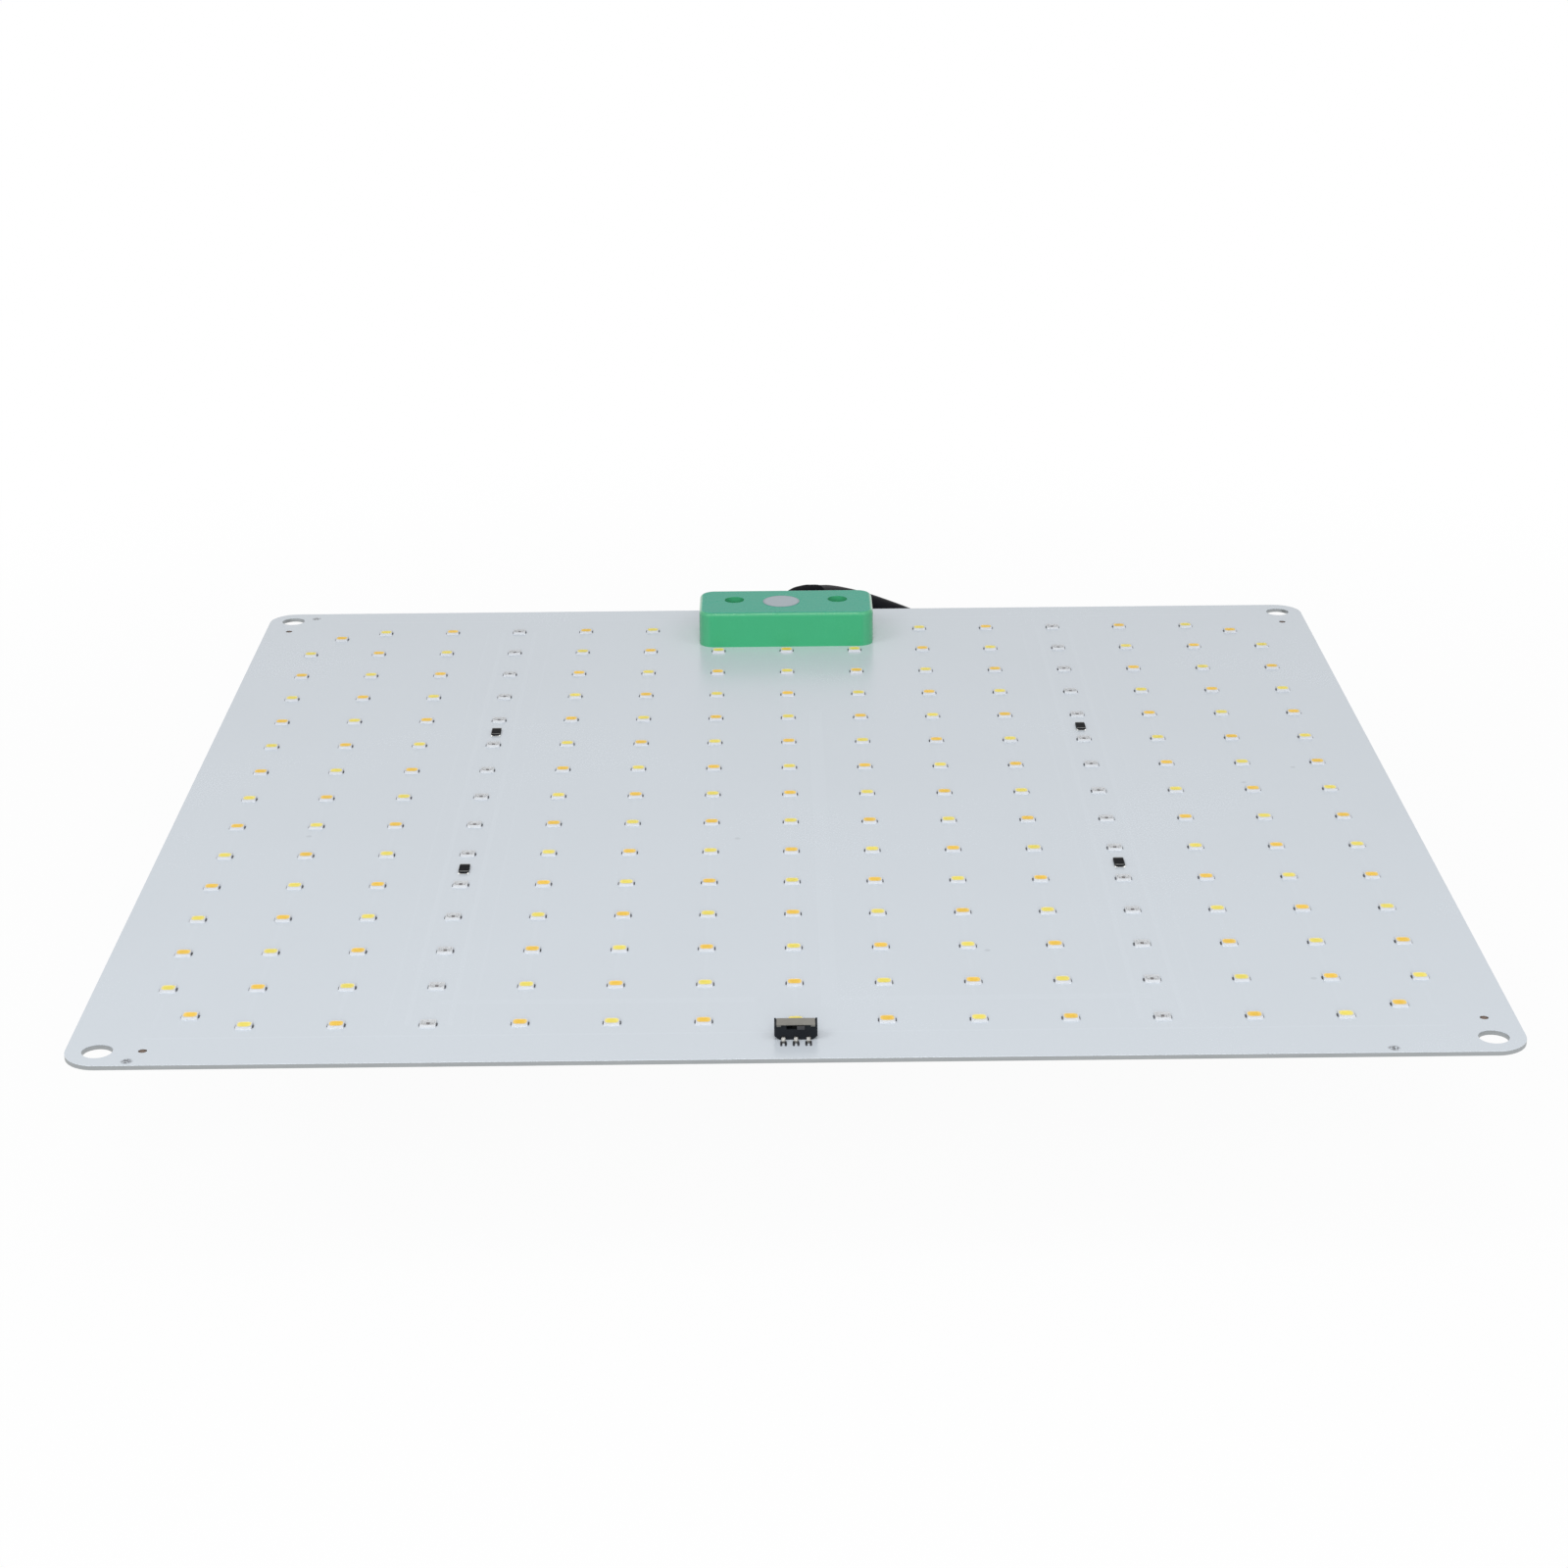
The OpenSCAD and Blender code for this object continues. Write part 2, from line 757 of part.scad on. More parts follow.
module earth_wire() {
    color("#6f9a3a")
        core_wire(1);
}

module solder_mounds() {
    color("#c4c7c9")
        for (pad = wire_pads)
            translate([pad[0], pad[1], face_z])
                cylinder(d1 = mound_d, d2 = wire_d, h = mound_h);
}

module power_cord() {
    color("#1a1b1d")
        translate(exit)
            tube(lead_route, same(cord_d / 2, lead_route), 12);
}

module at_coil() {
    translate(exit + coil_place + [0, 0, tie_t])
        children();
}

// The coil's outline: two layers of turns lying on each other
module coil_section() {
    lower_w = coil_outer_r - coil_inner_r;
    upper_w = upper_outer_r - coil_inner_r;
    round_r = cord_d / 2 - turn_gap;
    translate([coil_inner_r + lower_w / 2, cord_d / 2])
        rounded_square(lower_w, cord_d, round_r);
    translate([coil_inner_r + upper_w / 2, coil_h - cord_d / 2 - turn_gap])
        rounded_square(upper_w, cord_d + 2 * turn_gap, round_r);
}

module cord_coil() {
    color("#1a1b1d")
        at_coil()
            rotate_extrude()
                coil_section();
}

// Strap round the turns, with a slanted side where the upper layer is narrower
module cord_tie() {
    function strap(t) = [
        [coil_inner_r - t, -t], [coil_outer_r + t, -t], [coil_outer_r + t, cord_d],
        [upper_outer_r + t, coil_h + t], [coil_inner_r - t, coil_h + t]
    ];
    color("#2b2c2e")
        at_coil()
            rotate(tie_turn)
                rotate_extrude(angle = tie_angle)
                    difference() {
                        polygon(strap(tie_t));
                        polygon(strap(0));
                    }
}

module plug_lead() {
    color("#1a1b1d")
        translate(exit)
            tube(plug_route, same(cord_d / 2, plug_route), 12);
}

// The plug's own frame: the middle of its face
module at_plug() {
    translate(exit + [plug_face_x, plug_end[1], plug_end[2]])
        children();
}

module plug_slab(x, scale_by, t) {
    translate([x, 0, 0])
        rotate([90, 0, 90])
            linear_extrude(t)
                rounded_square(plug_w * scale_by, plug_h * scale_by, plug_corner_r, $fn = 32);
}

// Moulded plug: a face block that narrows to the grip, and a tapered boot round the lead
module plug_body() {
    face_l = 8;
    slice = 0.5;
    grip = 0.72;
    boot_d = 13;
    sunk = 0.2;
    color("#1d1e20")
        at_plug() {
            plug_slab(0, 1, face_l);
            hull() {
                plug_slab(face_l - slice, 1, slice);
                plug_slab(plug_l - slice, grip, slice);
            }
            translate([plug_l - sunk, 0, 0])
                rotate([0, 90, 0])
                    cylinder(d1 = boot_d, d2 = relief_tip_d, h = boot_l + sunk);
        }
}

module plug_blades() {
    tip_hole_d = 3;
    tip_hole_inset = 4;
    color("#c9b06a")
        at_plug()
            for (y = [-1, 1])
                translate([-blade_l, y * blade_pitch / 2, blade_lift])
                    difference() {
                        translate([0, -blade_t / 2, -blade_w / 2])
                            cube([blade_l, blade_t, blade_w]);
                        translate([tip_hole_inset, blade_t, 0])
                            rotate([90, 0, 0])
                                cylinder(d = tip_hole_d, h = 2 * blade_t);
                    }
}

module plug_ground_pin() {
    color("#c9b06a")
        at_plug()
            translate([0, 0, blade_lift - ground_drop])
                rotate([0, -90, 0]) {
                    cylinder(d = ground_d, h = ground_l - ground_d / 2);
                    translate([0, 0, ground_l - ground_d / 2])
                        sphere(d = ground_d);
                }
}

aluminium_base();
white_face();
led_housings();
warm_phosphor();
cool_phosphor();
red_lenses();
red_dies();
led_terminals();
resistor_bodies();
resistor_end_caps();
switch_base();
switch_cover();
switch_slider();
switch_contact();
switch_pins();
driver_cover();
cover_screws();
round_sticker();
strain_relief();
bridge_rectifier();
rectifier_leads();
driver_chips();
driver_chip_leads();
surge_absorber();
fuse();
live_wire();
neutral_wire();
earth_wire();
solder_mounds();
power_cord();
cord_coil();
cord_tie();
plug_lead();
plug_body();
plug_blades();
plug_ground_pin();
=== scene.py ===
"""Looks of a led grow light board: its finishes, solder and mains lead, in a plain white studio."""

import functools
import itertools
import logging
import math
from dataclasses import dataclass
from enum import Enum
from typing import Callable, Iterable, Sequence

import bmesh
import bpy
from mathutils import Matrix, Vector
from mathutils.geometry import convex_hull_2d


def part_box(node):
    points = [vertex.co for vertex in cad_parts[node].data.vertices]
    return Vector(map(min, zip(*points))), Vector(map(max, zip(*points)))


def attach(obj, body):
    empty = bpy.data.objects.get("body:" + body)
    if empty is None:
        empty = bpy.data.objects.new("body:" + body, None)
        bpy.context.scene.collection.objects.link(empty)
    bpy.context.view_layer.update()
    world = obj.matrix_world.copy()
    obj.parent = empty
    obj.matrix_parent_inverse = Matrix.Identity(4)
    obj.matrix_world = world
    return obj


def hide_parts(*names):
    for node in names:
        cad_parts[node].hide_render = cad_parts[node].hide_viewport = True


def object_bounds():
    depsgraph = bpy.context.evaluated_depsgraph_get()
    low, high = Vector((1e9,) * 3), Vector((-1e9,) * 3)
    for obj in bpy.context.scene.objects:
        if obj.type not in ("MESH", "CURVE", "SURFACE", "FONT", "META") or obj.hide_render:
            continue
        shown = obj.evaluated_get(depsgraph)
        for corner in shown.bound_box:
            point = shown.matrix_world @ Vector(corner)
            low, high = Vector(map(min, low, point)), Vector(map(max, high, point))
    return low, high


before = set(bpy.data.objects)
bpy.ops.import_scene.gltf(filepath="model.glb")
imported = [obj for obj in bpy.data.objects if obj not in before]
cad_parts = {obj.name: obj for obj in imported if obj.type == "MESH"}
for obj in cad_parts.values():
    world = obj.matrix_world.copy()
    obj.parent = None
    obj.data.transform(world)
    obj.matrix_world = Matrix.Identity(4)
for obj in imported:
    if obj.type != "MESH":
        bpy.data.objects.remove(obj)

CAD_LOW, CAD_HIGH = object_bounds()
MM = 0.001
SAME_POINT = 0.001 * MM  # points closer than this are joined
CREASE = 40.0  # degrees between faces above which an edge stays sharp
EDGE_FACES = 2  # faces across a rounded edge
LINE_END = 0.99999  # share of a smooth line that counts as its end
BOARD_BODY = "board"
WHITE = (1.0, 1.0, 1.0, 1.0)
LOG = logging.getLogger("grow_light")

Colour = tuple[float, float, float, float]
Pair = tuple[float, float]
Place = tuple[float, float, float]
Box = tuple[Vector, Vector]
Ring = list[Vector]
Inputs = dict[str | int, object]
Piece = bpy.types.Object
Material = bpy.types.Material
Shape = bmesh.types.BMesh


class Slot(Enum):
    """Material slots of the record that the new pieces belong to."""

    WARM = "warm_phosphor"
    COOL = "cool_phosphor"
    RESIN = "clear_resin"
    CHIP = "lamp_chip"
    SOLDER = "solder"
    RUBBER = "black_rubber"
    CORD = "cord_black"
    TIE = "tie_black"


class Streak(Enum):
    """How a metal was brushed, as the stretch of its noise along X, Y and Z."""

    NONE = (1.0, 1.0, 1.0)
    ALONG_X = (0.03, 1.0, 1.0)


def srgb(red: float, green: float, blue: float) -> Colour:
    """Linear colour of three 8-bit screen values.

    Args:
        red: Red value from 0 to 255.
        green: Green value from 0 to 255.
        blue: Blue value from 0 to 255.

    Returns:
        The colour in linear light, opaque.
    """

    def linear(value: float) -> float:
        """Linear light of one 8-bit value."""
        share = value / 255
        return share / 12.92 if share <= 0.04045 else ((share + 0.055) / 1.055) ** 2.4

    return (linear(red), linear(green), linear(blue), 1.0)


def shade(colour: Colour, factor: float) -> Colour:
    """The colour made lighter or darker by a factor."""
    return (colour[0] * factor, colour[1] * factor, colour[2] * factor, colour[3])


def operator(operation: str, swapped: bool = False) -> Callable[["Wire", "Wire | float"], "Wire"]:
    """Make a method of Wire that adds one Math node.

    Args:
        operation: The Math node's operation.
        swapped: Whether the wire is the second value, as in a reflected form.

    Returns:
        The method.
    """

    def method(wire: "Wire", other: "Wire | float") -> "Wire":
        """The operation on this wire and another value."""
        return wire.graph.math(operation, *((other, wire) if swapped else (wire, other)))

    return method


class Wire:
    """A node's output that takes part in shader maths."""

    __add__, __radd__ = operator("ADD"), operator("ADD", swapped=True)
    __sub__, __rsub__ = operator("SUBTRACT"), operator("SUBTRACT", swapped=True)
    __mul__, __rmul__ = operator("MULTIPLY"), operator("MULTIPLY", swapped=True)
    __truediv__, __rtruediv__ = operator("DIVIDE"), operator("DIVIDE", swapped=True)
    __pow__, __rpow__ = operator("POWER"), operator("POWER", swapped=True)
    most = operator("MAXIMUM")

    def __init__(self, graph: "Graph", socket: bpy.types.NodeSocket) -> None:
        """Keep the output and the graph that it belongs to."""
        self.graph = graph
        self.socket = socket

    def __abs__(self) -> "Wire":
        """Size without sign."""
        return self.graph.math("ABSOLUTE", self)

    def rounded(self) -> "Wire":
        """Nearest whole number."""
        return self.graph.math("ROUND", self)

    def rise(self, start: float, end: float) -> "Wire":
        """Smooth rise between two values.

        Args:
            start: Where the result is 0.
            end: Where the result is 1; with an end below the start it falls.

        Returns:
            A value from 0 to 1.
        """
        limits = {"From Min": min(start, end), "From Max": max(start, end)}
        results = {"To Min": float(start > end), "To Max": float(end > start)}
        smooth = {"interpolation_type": "SMOOTHSTEP"}
        return self.graph.node("ShaderNodeMapRange", smooth, {"Value": self, **limits, **results})

    def near(self, centre: float, half_width: float, blur: float) -> "Wire":
        """1 within half_width of centre, fading to 0 over blur."""
        return abs(self - centre).rise(half_width + blur, half_width)


def strongest(wires: Iterable[Wire]) -> Wire:
    """The largest of several values."""
    return functools.reduce(Wire.most, wires)


class Graph:
    """The nodes of one material or world."""

    SPOT_CORE = 0.4
    MIX_FACTOR, MIX_FIRST, MIX_SECOND, MIX_RESULT = 0, 6, 7, 2

    def __init__(self, owner: Material | bpy.types.World) -> None:
        """Start with no nodes in the owner's tree.

        Args:
            owner: The material or world.
        """
        owner.use_nodes = True
        self.owner = owner
        self.tree = owner.node_tree
        self.tree.nodes.clear()

    @classmethod
    def of_material(cls, name: str) -> "Graph":
        """The nodes of a new material of that name."""
        return cls(bpy.data.materials.new(name))

    def node(
        self,
        kind: str,
        settings: dict[str, object] | None = None,
        inputs: Inputs | None = None,
        output: str | int = 0,
    ) -> Wire:
        """Add a node.

        Args:
            kind: Blender's type name of the node.
            settings: Properties of the node, set before its sockets.
            inputs: Socket names or numbers, with a value or a wire for each.
            output: Name or number of the output to return.

        Returns:
            The chosen output.
        """
        made = self.tree.nodes.new(kind)
        for key, value in (settings or {}).items():
            setattr(made, key, value)
        for key, value in (inputs or {}).items():
            if isinstance(value, Wire):
                self.tree.links.new(value.socket, made.inputs[key])
            else:
                made.inputs[key].default_value = value
        return Wire(self, made.outputs[output])

    def end(self, kind: str, shader: Wire) -> None:
        """Lead the shader to the tree's output node of that type."""
        self.tree.links.new(shader.socket, self.tree.nodes.new(kind).inputs["Surface"])

    def math(self, operation: str, first: Wire | float, second: Wire | float = 0.0) -> Wire:
        """One Math node with two values."""
        return self.node("ShaderNodeMath", {"operation": operation}, {0: first, 1: second})

    def parts(self, vector: Wire) -> tuple[Wire, Wire, Wire]:
        """A vector's parts along X, Y and Z."""
        first = self.node("ShaderNodeSeparateXYZ", None, {0: vector})
        return tuple(Wire(self, output) for output in first.socket.node.outputs)

    @functools.cached_property
    def place(self) -> Wire:
        """The point on the object, in metres."""
        return self.node("ShaderNodeTexCoord", output="Object")

    @functools.cached_property
    def millimetres(self) -> tuple[Wire, Wire, Wire]:
        """The point's three coordinates in millimetres."""
        return self.parts(self.stretched(self.place, (1 / MM, 1 / MM, 1 / MM)))

    @functools.cached_property
    def facing(self) -> tuple[Wire, Wire, Wire]:
        """The surface's direction along X, Y and Z; the last is 1 on a level top."""
        return self.parts(self.node("ShaderNodeNewGeometry", output="Normal"))

    def edge(self) -> Wire:
        """How far the surface turns from X, Y and Z: 0 on a flat side, about 0.3 on an edge."""
        return 1 - strongest(abs(part) for part in self.facing)

    def distance(self, middle: Pair) -> Wire:
        """Distance in millimetres from a place on the board, as seen from above."""
        across, along, _ = self.millimetres
        return ((across - middle[0]) ** 2.0 + (along - middle[1]) ** 2.0) ** 0.5

    def spots(self, places: Iterable[Pair], radius: float) -> Wire:
        """Soft round spots: 1 in the middle of each and 0 outside. Sizes are in millimetres."""
        core = self.SPOT_CORE * radius
        return strongest(self.distance(place).rise(radius, core) for place in places)

    def stretched(self, vector: Wire, factors: Place) -> Wire:
        """The vector times three factors."""
        return self.node("ShaderNodeVectorMath", {"operation": "MULTIPLY"}, {0: vector, 1: factors})

    def noise(self, vector: Wire, grain: float, detail: float = 2.0) -> Wire:
        """Noise from 0 to 1 whose lumps are about one grain across, in metres."""
        inputs = {"Vector": vector, "Scale": 1 / grain, "Detail": detail}
        return self.node("ShaderNodeTexNoise", None, inputs)

    def mix(self, factor: Wire | float, first: Wire | Colour, second: Wire | Colour) -> Wire:
        """Colour between first, at factor 0, and second, at factor 1."""
        inputs = {self.MIX_FACTOR: factor, self.MIX_FIRST: first, self.MIX_SECOND: second}
        return self.node("ShaderNodeMix", {"data_type": "RGBA"}, inputs, self.MIX_RESULT)

    def varied(self, factor: Wire, colour: Colour, shades: Pair) -> Wire:
        """The colour in two shades, the first at factor 0 and the second at factor 1."""
        return self.mix(factor, shade(colour, shades[0]), shade(colour, shades[1]))

    def bump(self, height: Wire, depth: float) -> Wire:
        """Surface normal of a relief whose height runs from 0 to 1 and is depth metres deep."""
        return self.node("ShaderNodeBump", None, {"Height": height, "Distance": depth})

    def surface(self, inputs: Inputs) -> Material:
        """Finish the material with a Principled shader that has these values and wires."""
        self.end("ShaderNodeOutputMaterial", self.node("ShaderNodeBsdfPrincipled", None, inputs))
        return self.owner


@dataclass(frozen=True)
class Moulded:
    """Moulded plastic, resin or rubber: a fine grain, a slight mottle and uneven gloss.

    Level tops may take a second colour, a painted reflection of the bright room, and the edges
    round them are then polished. A piece that slides in a slot gets painted shade behind the slot's
    front, which is given as Y in millimetres.
    """

    name: str
    colour: Colour
    roughness: float
    grain: float = 0.25 * MM
    relief: float = 0.01 * MM
    mottle: float = 0.05
    specular: float = 0.5
    # painted reflection: a second colour that level tops take, standing in for the bright room they
    # mirror
    painted_top_reflection: Colour | None = None
    # painted shade: Y in millimetres behind which the colour is darkened like the inside of a slot
    painted_shade_front: float | None = None
    cloud_grains: float = 16.0
    cloud_detail: float = 3.0
    cloud_gloss: float = 0.12
    grain_gloss: float = 0.08
    # upward facing over which the painted top reflection takes over
    level: Pair = (0.86, 0.99)
    edge: Pair = (0.01, 0.09)
    polish: float = 0.9
    polish_roughness: float = 0.22
    # blur and darkness of the painted shade behind the slot's front
    painted_shade_blur: float = 0.2
    painted_slot_shade: float = 0.1

    def make(self) -> Material:
        """Build the material.

        Returns:
            The finished material.
        """
        graph = Graph.of_material(self.name)
        cloud = graph.noise(graph.place, self.cloud_grains * self.grain, self.cloud_detail)
        grain = graph.noise(graph.place, self.grain)
        shades = (1 - self.mottle, 1 + self.mottle)
        colour = graph.varied(cloud, self.colour, shades)
        coat: Inputs = {}
        # painted reflection: level tops are mixed towards the top colour, and the edges round them
        # get a coat
        if self.painted_top_reflection is not None:
            painted_top_reflection = graph.varied(cloud, self.painted_top_reflection, shades)
            colour = graph.mix(graph.facing[2].rise(*self.level), colour, painted_top_reflection)
            coat["Coat Weight"] = graph.edge().rise(*self.edge) * self.polish
            coat["Coat Roughness"] = self.polish_roughness
        # painted shade: darker behind the slot's front
        if self.painted_shade_front is not None:
            in_painted_shade = graph.millimetres[1].rise(self.painted_shade_front, self.painted_shade_front + self.painted_shade_blur)
            colour = graph.mix(in_painted_shade, colour, shade(self.colour, self.painted_slot_shade))
        uneven = (cloud - 0.5) * self.cloud_gloss + (grain - 0.5) * self.grain_gloss
        return graph.surface({
            "Base Color": colour,
            "Roughness": self.roughness + uneven,
            "Normal": graph.bump(grain, self.relief),
            "Specular IOR Level": self.specular,
            **coat,
        })


@dataclass(frozen=True)
class Metal:
    """Bare metal or solder: brushed or cloudy, with dull patches.

    Level tops may take a lighter colour, a painted reflection. Stains lie round places given as X
    and Y in millimetres.
    """

    name: str
    colour: Colour
    roughness: float
    streak: Streak = Streak.NONE
    grain: float = 0.3 * MM
    relief: float = 0.006 * MM
    tarnish: float = 0.25
    # painted reflection: a lighter colour that level tops take
    painted_top_reflection: Colour | None = None
    stains: tuple[Pair, ...] = ()
    stain: Colour = srgb(148, 133, 124)
    stain_radius: float = 2.5
    line_detail: float = 4.0
    line_shades: Pair = (0.86, 1.1)
    line_gloss: float = 0.2
    patch_grains: float = 14.0
    patch_detail: float = 3.0
    patch_level: Pair = (0.45, 0.75)
    patch_shade: float = 0.55
    patch_gloss: float = 0.08
    # upward facing over which the painted top reflection takes over
    level: Pair = (0.6, 0.9)

    def make(self) -> Material:
        """Build the material.

        Returns:
            The finished material.
        """
        graph = Graph.of_material(self.name)
        brushed = graph.stretched(graph.place, self.streak.value)
        lines = graph.noise(brushed, self.grain, self.line_detail)
        cloud = graph.noise(graph.place, self.patch_grains * self.grain, self.patch_detail)
        patches = cloud.rise(*self.patch_level)
        colour = graph.varied(lines, self.colour, self.line_shades)
        # painted reflection: level tops are mixed towards the top colour
        if self.painted_top_reflection is not None:
            colour = graph.mix(graph.facing[2].rise(*self.level), colour, self.painted_top_reflection)
        if self.stains:
            colour = graph.mix(graph.spots(self.stains, self.stain_radius), colour, self.stain)
        dull = shade(self.colour, self.patch_shade)
        uneven = (lines - 0.5) * self.line_gloss + patches * self.patch_gloss
        return graph.surface({
            "Base Color": graph.mix(patches * self.tarnish, colour, dull),
            "Metallic": 1.0,
            "Roughness": self.roughness + uneven,
            "Normal": graph.bump(lines, self.relief),
        })


@dataclass(frozen=True)
class Stripe:
    """A soft stripe: its middle, half its width and its blur in millimetres, and its strength."""

    middle: float
    half_width: float
    blur: float
    strength: float = 1.0

    def over(self, distance: Wire) -> Wire:
        """The stripe as a value from 0 to its strength, over a distance in millimetres."""
        return distance.near(self.middle, self.half_width, self.blur) * self.strength


@dataclass(frozen=True)
class SolderMask:
    """White solder mask with the faint relief of the conductors under it, and handling marks.

    Lengths without a unit are in millimetres. A bar of conductor is a stripe over X and one over Y,
    and those in pairs lie at both sides of the middle.
    """

    name: str = "white_solder_mask"
    colour: Colour = srgb(212, 219, 226)
    roughness: float = 0.26
    cloud_size: float = 60 * MM
    cloud_detail: float = 3.0
    cloud_shades: Pair = (0.97, 1.02)
    cloud_gloss: float = 0.06
    grain: float = 0.35 * MM
    grain_gloss: float = 0.05
    grain_relief: float = 0.3
    relief: float = 0.008 * MM
    line_tint: float = 0.3
    line_shade: float = 1.05
    field_shift: float = -0.75
    pitch_x: float = 18.5
    red_column_x: float = 74.0
    field: Stripe = Stripe(0.0, 127.0, 1.0)
    string: Stripe = Stripe(0.0, 0.3, 0.3, 0.5)
    beside_red: tuple[Stripe, ...] = (Stripe(4.35, 0.4, 0.3), Stripe(8.7, 0.2, 0.2, 0.6))
    feed: tuple[Stripe, Stripe] = (Stripe(7.0, 1.6, 0.2), Stripe(-30.0, 90.0, 1.0, 0.8))
    paired_bars: tuple[tuple[Stripe, Stripe], ...] = (
        (Stripe(40.5, 32.0, 0.6), Stripe(-116.3, 1.1, 0.2, 0.8)),
        (Stripe(0.0, 130.0, 1.0), Stripe(-132.0, 0.3, 0.2)),
        (Stripe(75.0, 50.0, 1.0), Stripe(137.5, 0.3, 0.2)),
    )
    mark_colour: Colour = srgb(88, 90, 98)
    smudges: tuple[Pair, ...] = ((-131.8, -143.15), (117.8, -143.15), (-132.3, 140.65))
    smudge_radius: float = 1.5
    smudge_grain: float = 0.5 * MM
    smudge_detail: float = 1.0
    smudge_level: Pair = (0.38, 0.5)
    smudge_strength: float = 0.9
    specks: tuple[Pair, ...] = (
        (123.0, 14.25), (109.5, 4.25), (-112.0, -24.75),
        (-12.4, -28.75), (41.0, -93.75), (107.5, -109.75),
    )
    speck_radius: float = 0.9
    speck_strength: float = 0.16

    def conductors(self, graph: Graph) -> Wire:
        """Relief of the conductors: 1 on a conductor and 0 beside it.

        Args:
            graph: The nodes of the material.

        Returns:
            The relief.
        """
        across, from_middle, _ = graph.millimetres
        along = from_middle - self.field_shift
        off_red = abs(abs(across) - self.red_column_x)
        off_column = abs(across - (across / self.pitch_x).rounded() * self.pitch_x)
        strings = [stripe.over(off_red) for stripe in self.beside_red]
        strings.append(self.string.over(off_column))
        bars = [self.feed[0].over(across) * self.feed[1].over(along)]
        bars += [side.over(abs(across)) * span.over(along) for side, span in self.paired_bars]
        return strongest([strongest(strings) * self.field.over(along), *bars])

    def make(self) -> Material:
        """Build the material.

        Returns:
            The finished material.
        """
        graph = Graph.of_material(self.name)
        lines = self.conductors(graph)
        cloud = graph.noise(graph.place, self.cloud_size, self.cloud_detail)
        grain = graph.noise(graph.place, self.grain)
        base = graph.varied(cloud, self.colour, self.cloud_shades)
        traced = graph.mix(lines * self.line_tint, base, shade(self.colour, self.line_shade))
        gaps = graph.noise(graph.place, self.smudge_grain, self.smudge_detail)
        broken = gaps.rise(*self.smudge_level) * self.smudge_strength
        smudge = graph.spots(self.smudges, self.smudge_radius) * broken
        dust = graph.spots(self.specks, self.speck_radius) * self.speck_strength
        uneven = (cloud - 0.5) * self.cloud_gloss + (grain - 0.5) * self.grain_gloss
        return graph.surface({
            "Base Color": graph.mix(smudge.most(dust), traced, self.mark_colour),
            "Roughness": self.roughness + uneven,
            "Normal": graph.bump(lines + grain * self.grain_relief, self.relief),
        })


@dataclass(frozen=True)
class Phosphor:
    """Silicone with phosphor in a lamp's window: paler at the rim, each lamp a little different."""

    name: str
    colour: Colour
    rim: Colour
    pitch: float = 18.5
    lamp_shades: Pair = (0.93, 1.05)
    grain: float = 0.12 * MM
    relief: float = 0.01 * MM
    speckle: float = 0.25
    speckle_shade: float = 0.85
    rim_share: float = 0.6
    roughness: float = 0.4
    grain_gloss: float = 0.15
    specular: float = 0.2

    def make(self) -> Material:
        """Build the material.

        Returns:
            The finished material.
        """
        graph = Graph.of_material(self.name)
        across, along, _ = graph.millimetres
        numbers = {0: (across / self.pitch).rounded(), 1: (along / self.pitch).rounded()}
        cell = graph.node("ShaderNodeCombineXYZ", None, numbers)
        in_space = {"noise_dimensions": "3D"}
        lamp = graph.node("ShaderNodeTexWhiteNoise", in_space, {"Vector": cell})
        grain = graph.noise(graph.place, self.grain)
        rim = graph.node("ShaderNodeAttribute", {"attribute_name": "rim"}, None, "Fac")
        body = graph.varied(lamp, self.colour, self.lamp_shades)
        speckled = graph.mix(grain * self.speckle, body, shade(self.colour, self.speckle_shade))
        return graph.surface({
            "Base Color": graph.mix(rim * self.rim_share, speckled, self.rim),
            "Roughness": self.roughness + grain * self.grain_gloss,
            "Normal": graph.bump(grain, self.relief),
            "Specular IOR Level": self.specular,
        })


@dataclass(frozen=True)
class ClearResin:
    """Clear silicone over a lamp's chip, slightly hazy; pairs run from no haze to full haze."""

    name: str = "clear_silicone"
    colours: tuple[Colour, Colour] = (srgb(228, 229, 230), srgb(242, 243, 243))
    haze_size: float = 0.4 * MM
    haze_detail: float = 3.0
    roughness: Pair = (0.12, 0.22)
    alpha: Pair = (0.18, 0.26)

    def make(self) -> Material:
        """Build the material.

        Returns:
            The finished material.
        """
        graph = Graph.of_material(self.name)
        haze = graph.noise(graph.place, self.haze_size, self.haze_detail)
        return graph.surface({
            "Base Color": graph.mix(haze, *self.colours),
            "Roughness": self.roughness[0] + haze * (self.roughness[1] - self.roughness[0]),
            "Alpha": self.alpha[0] + haze * (self.alpha[1] - self.alpha[0]),
        })


@dataclass(frozen=True)
class Paper:
    """Silver paper sticker, bare, with a fine fibre and a rubbed rim."""

    name: str = "bare_sticker"
    colour: Colour = srgb(176, 186, 192)
    shades: Pair = (0.88, 1.08)
    middle: Pair = (-1.3, 122.35)
    rim: Pair = (4.3, 4.85)
    rim_colour: Colour = srgb(142, 152, 160)
    rim_share: float = 0.55
    fibre: float = 0.5 * MM
    fibre_detail: float = 4.0
    relief: float = 0.02 * MM
    roughness: float = 0.45
    fibre_gloss: float = 0.2

    def make(self) -> Material:
        """Build the material.

        Returns:
            The finished material.
        """
        graph = Graph.of_material(self.name)
        rim = graph.distance(self.middle).rise(*self.rim)
        fibre = graph.noise(graph.place, self.fibre, self.fibre_detail)
        base = graph.varied(fibre, self.colour, self.shades)
        return graph.surface({
            "Base Color": graph.mix(rim * self.rim_share, base, self.rim_colour),
            "Roughness": self.roughness + fibre * self.fibre_gloss,
            "Normal": graph.bump(fibre, self.relief),
        })


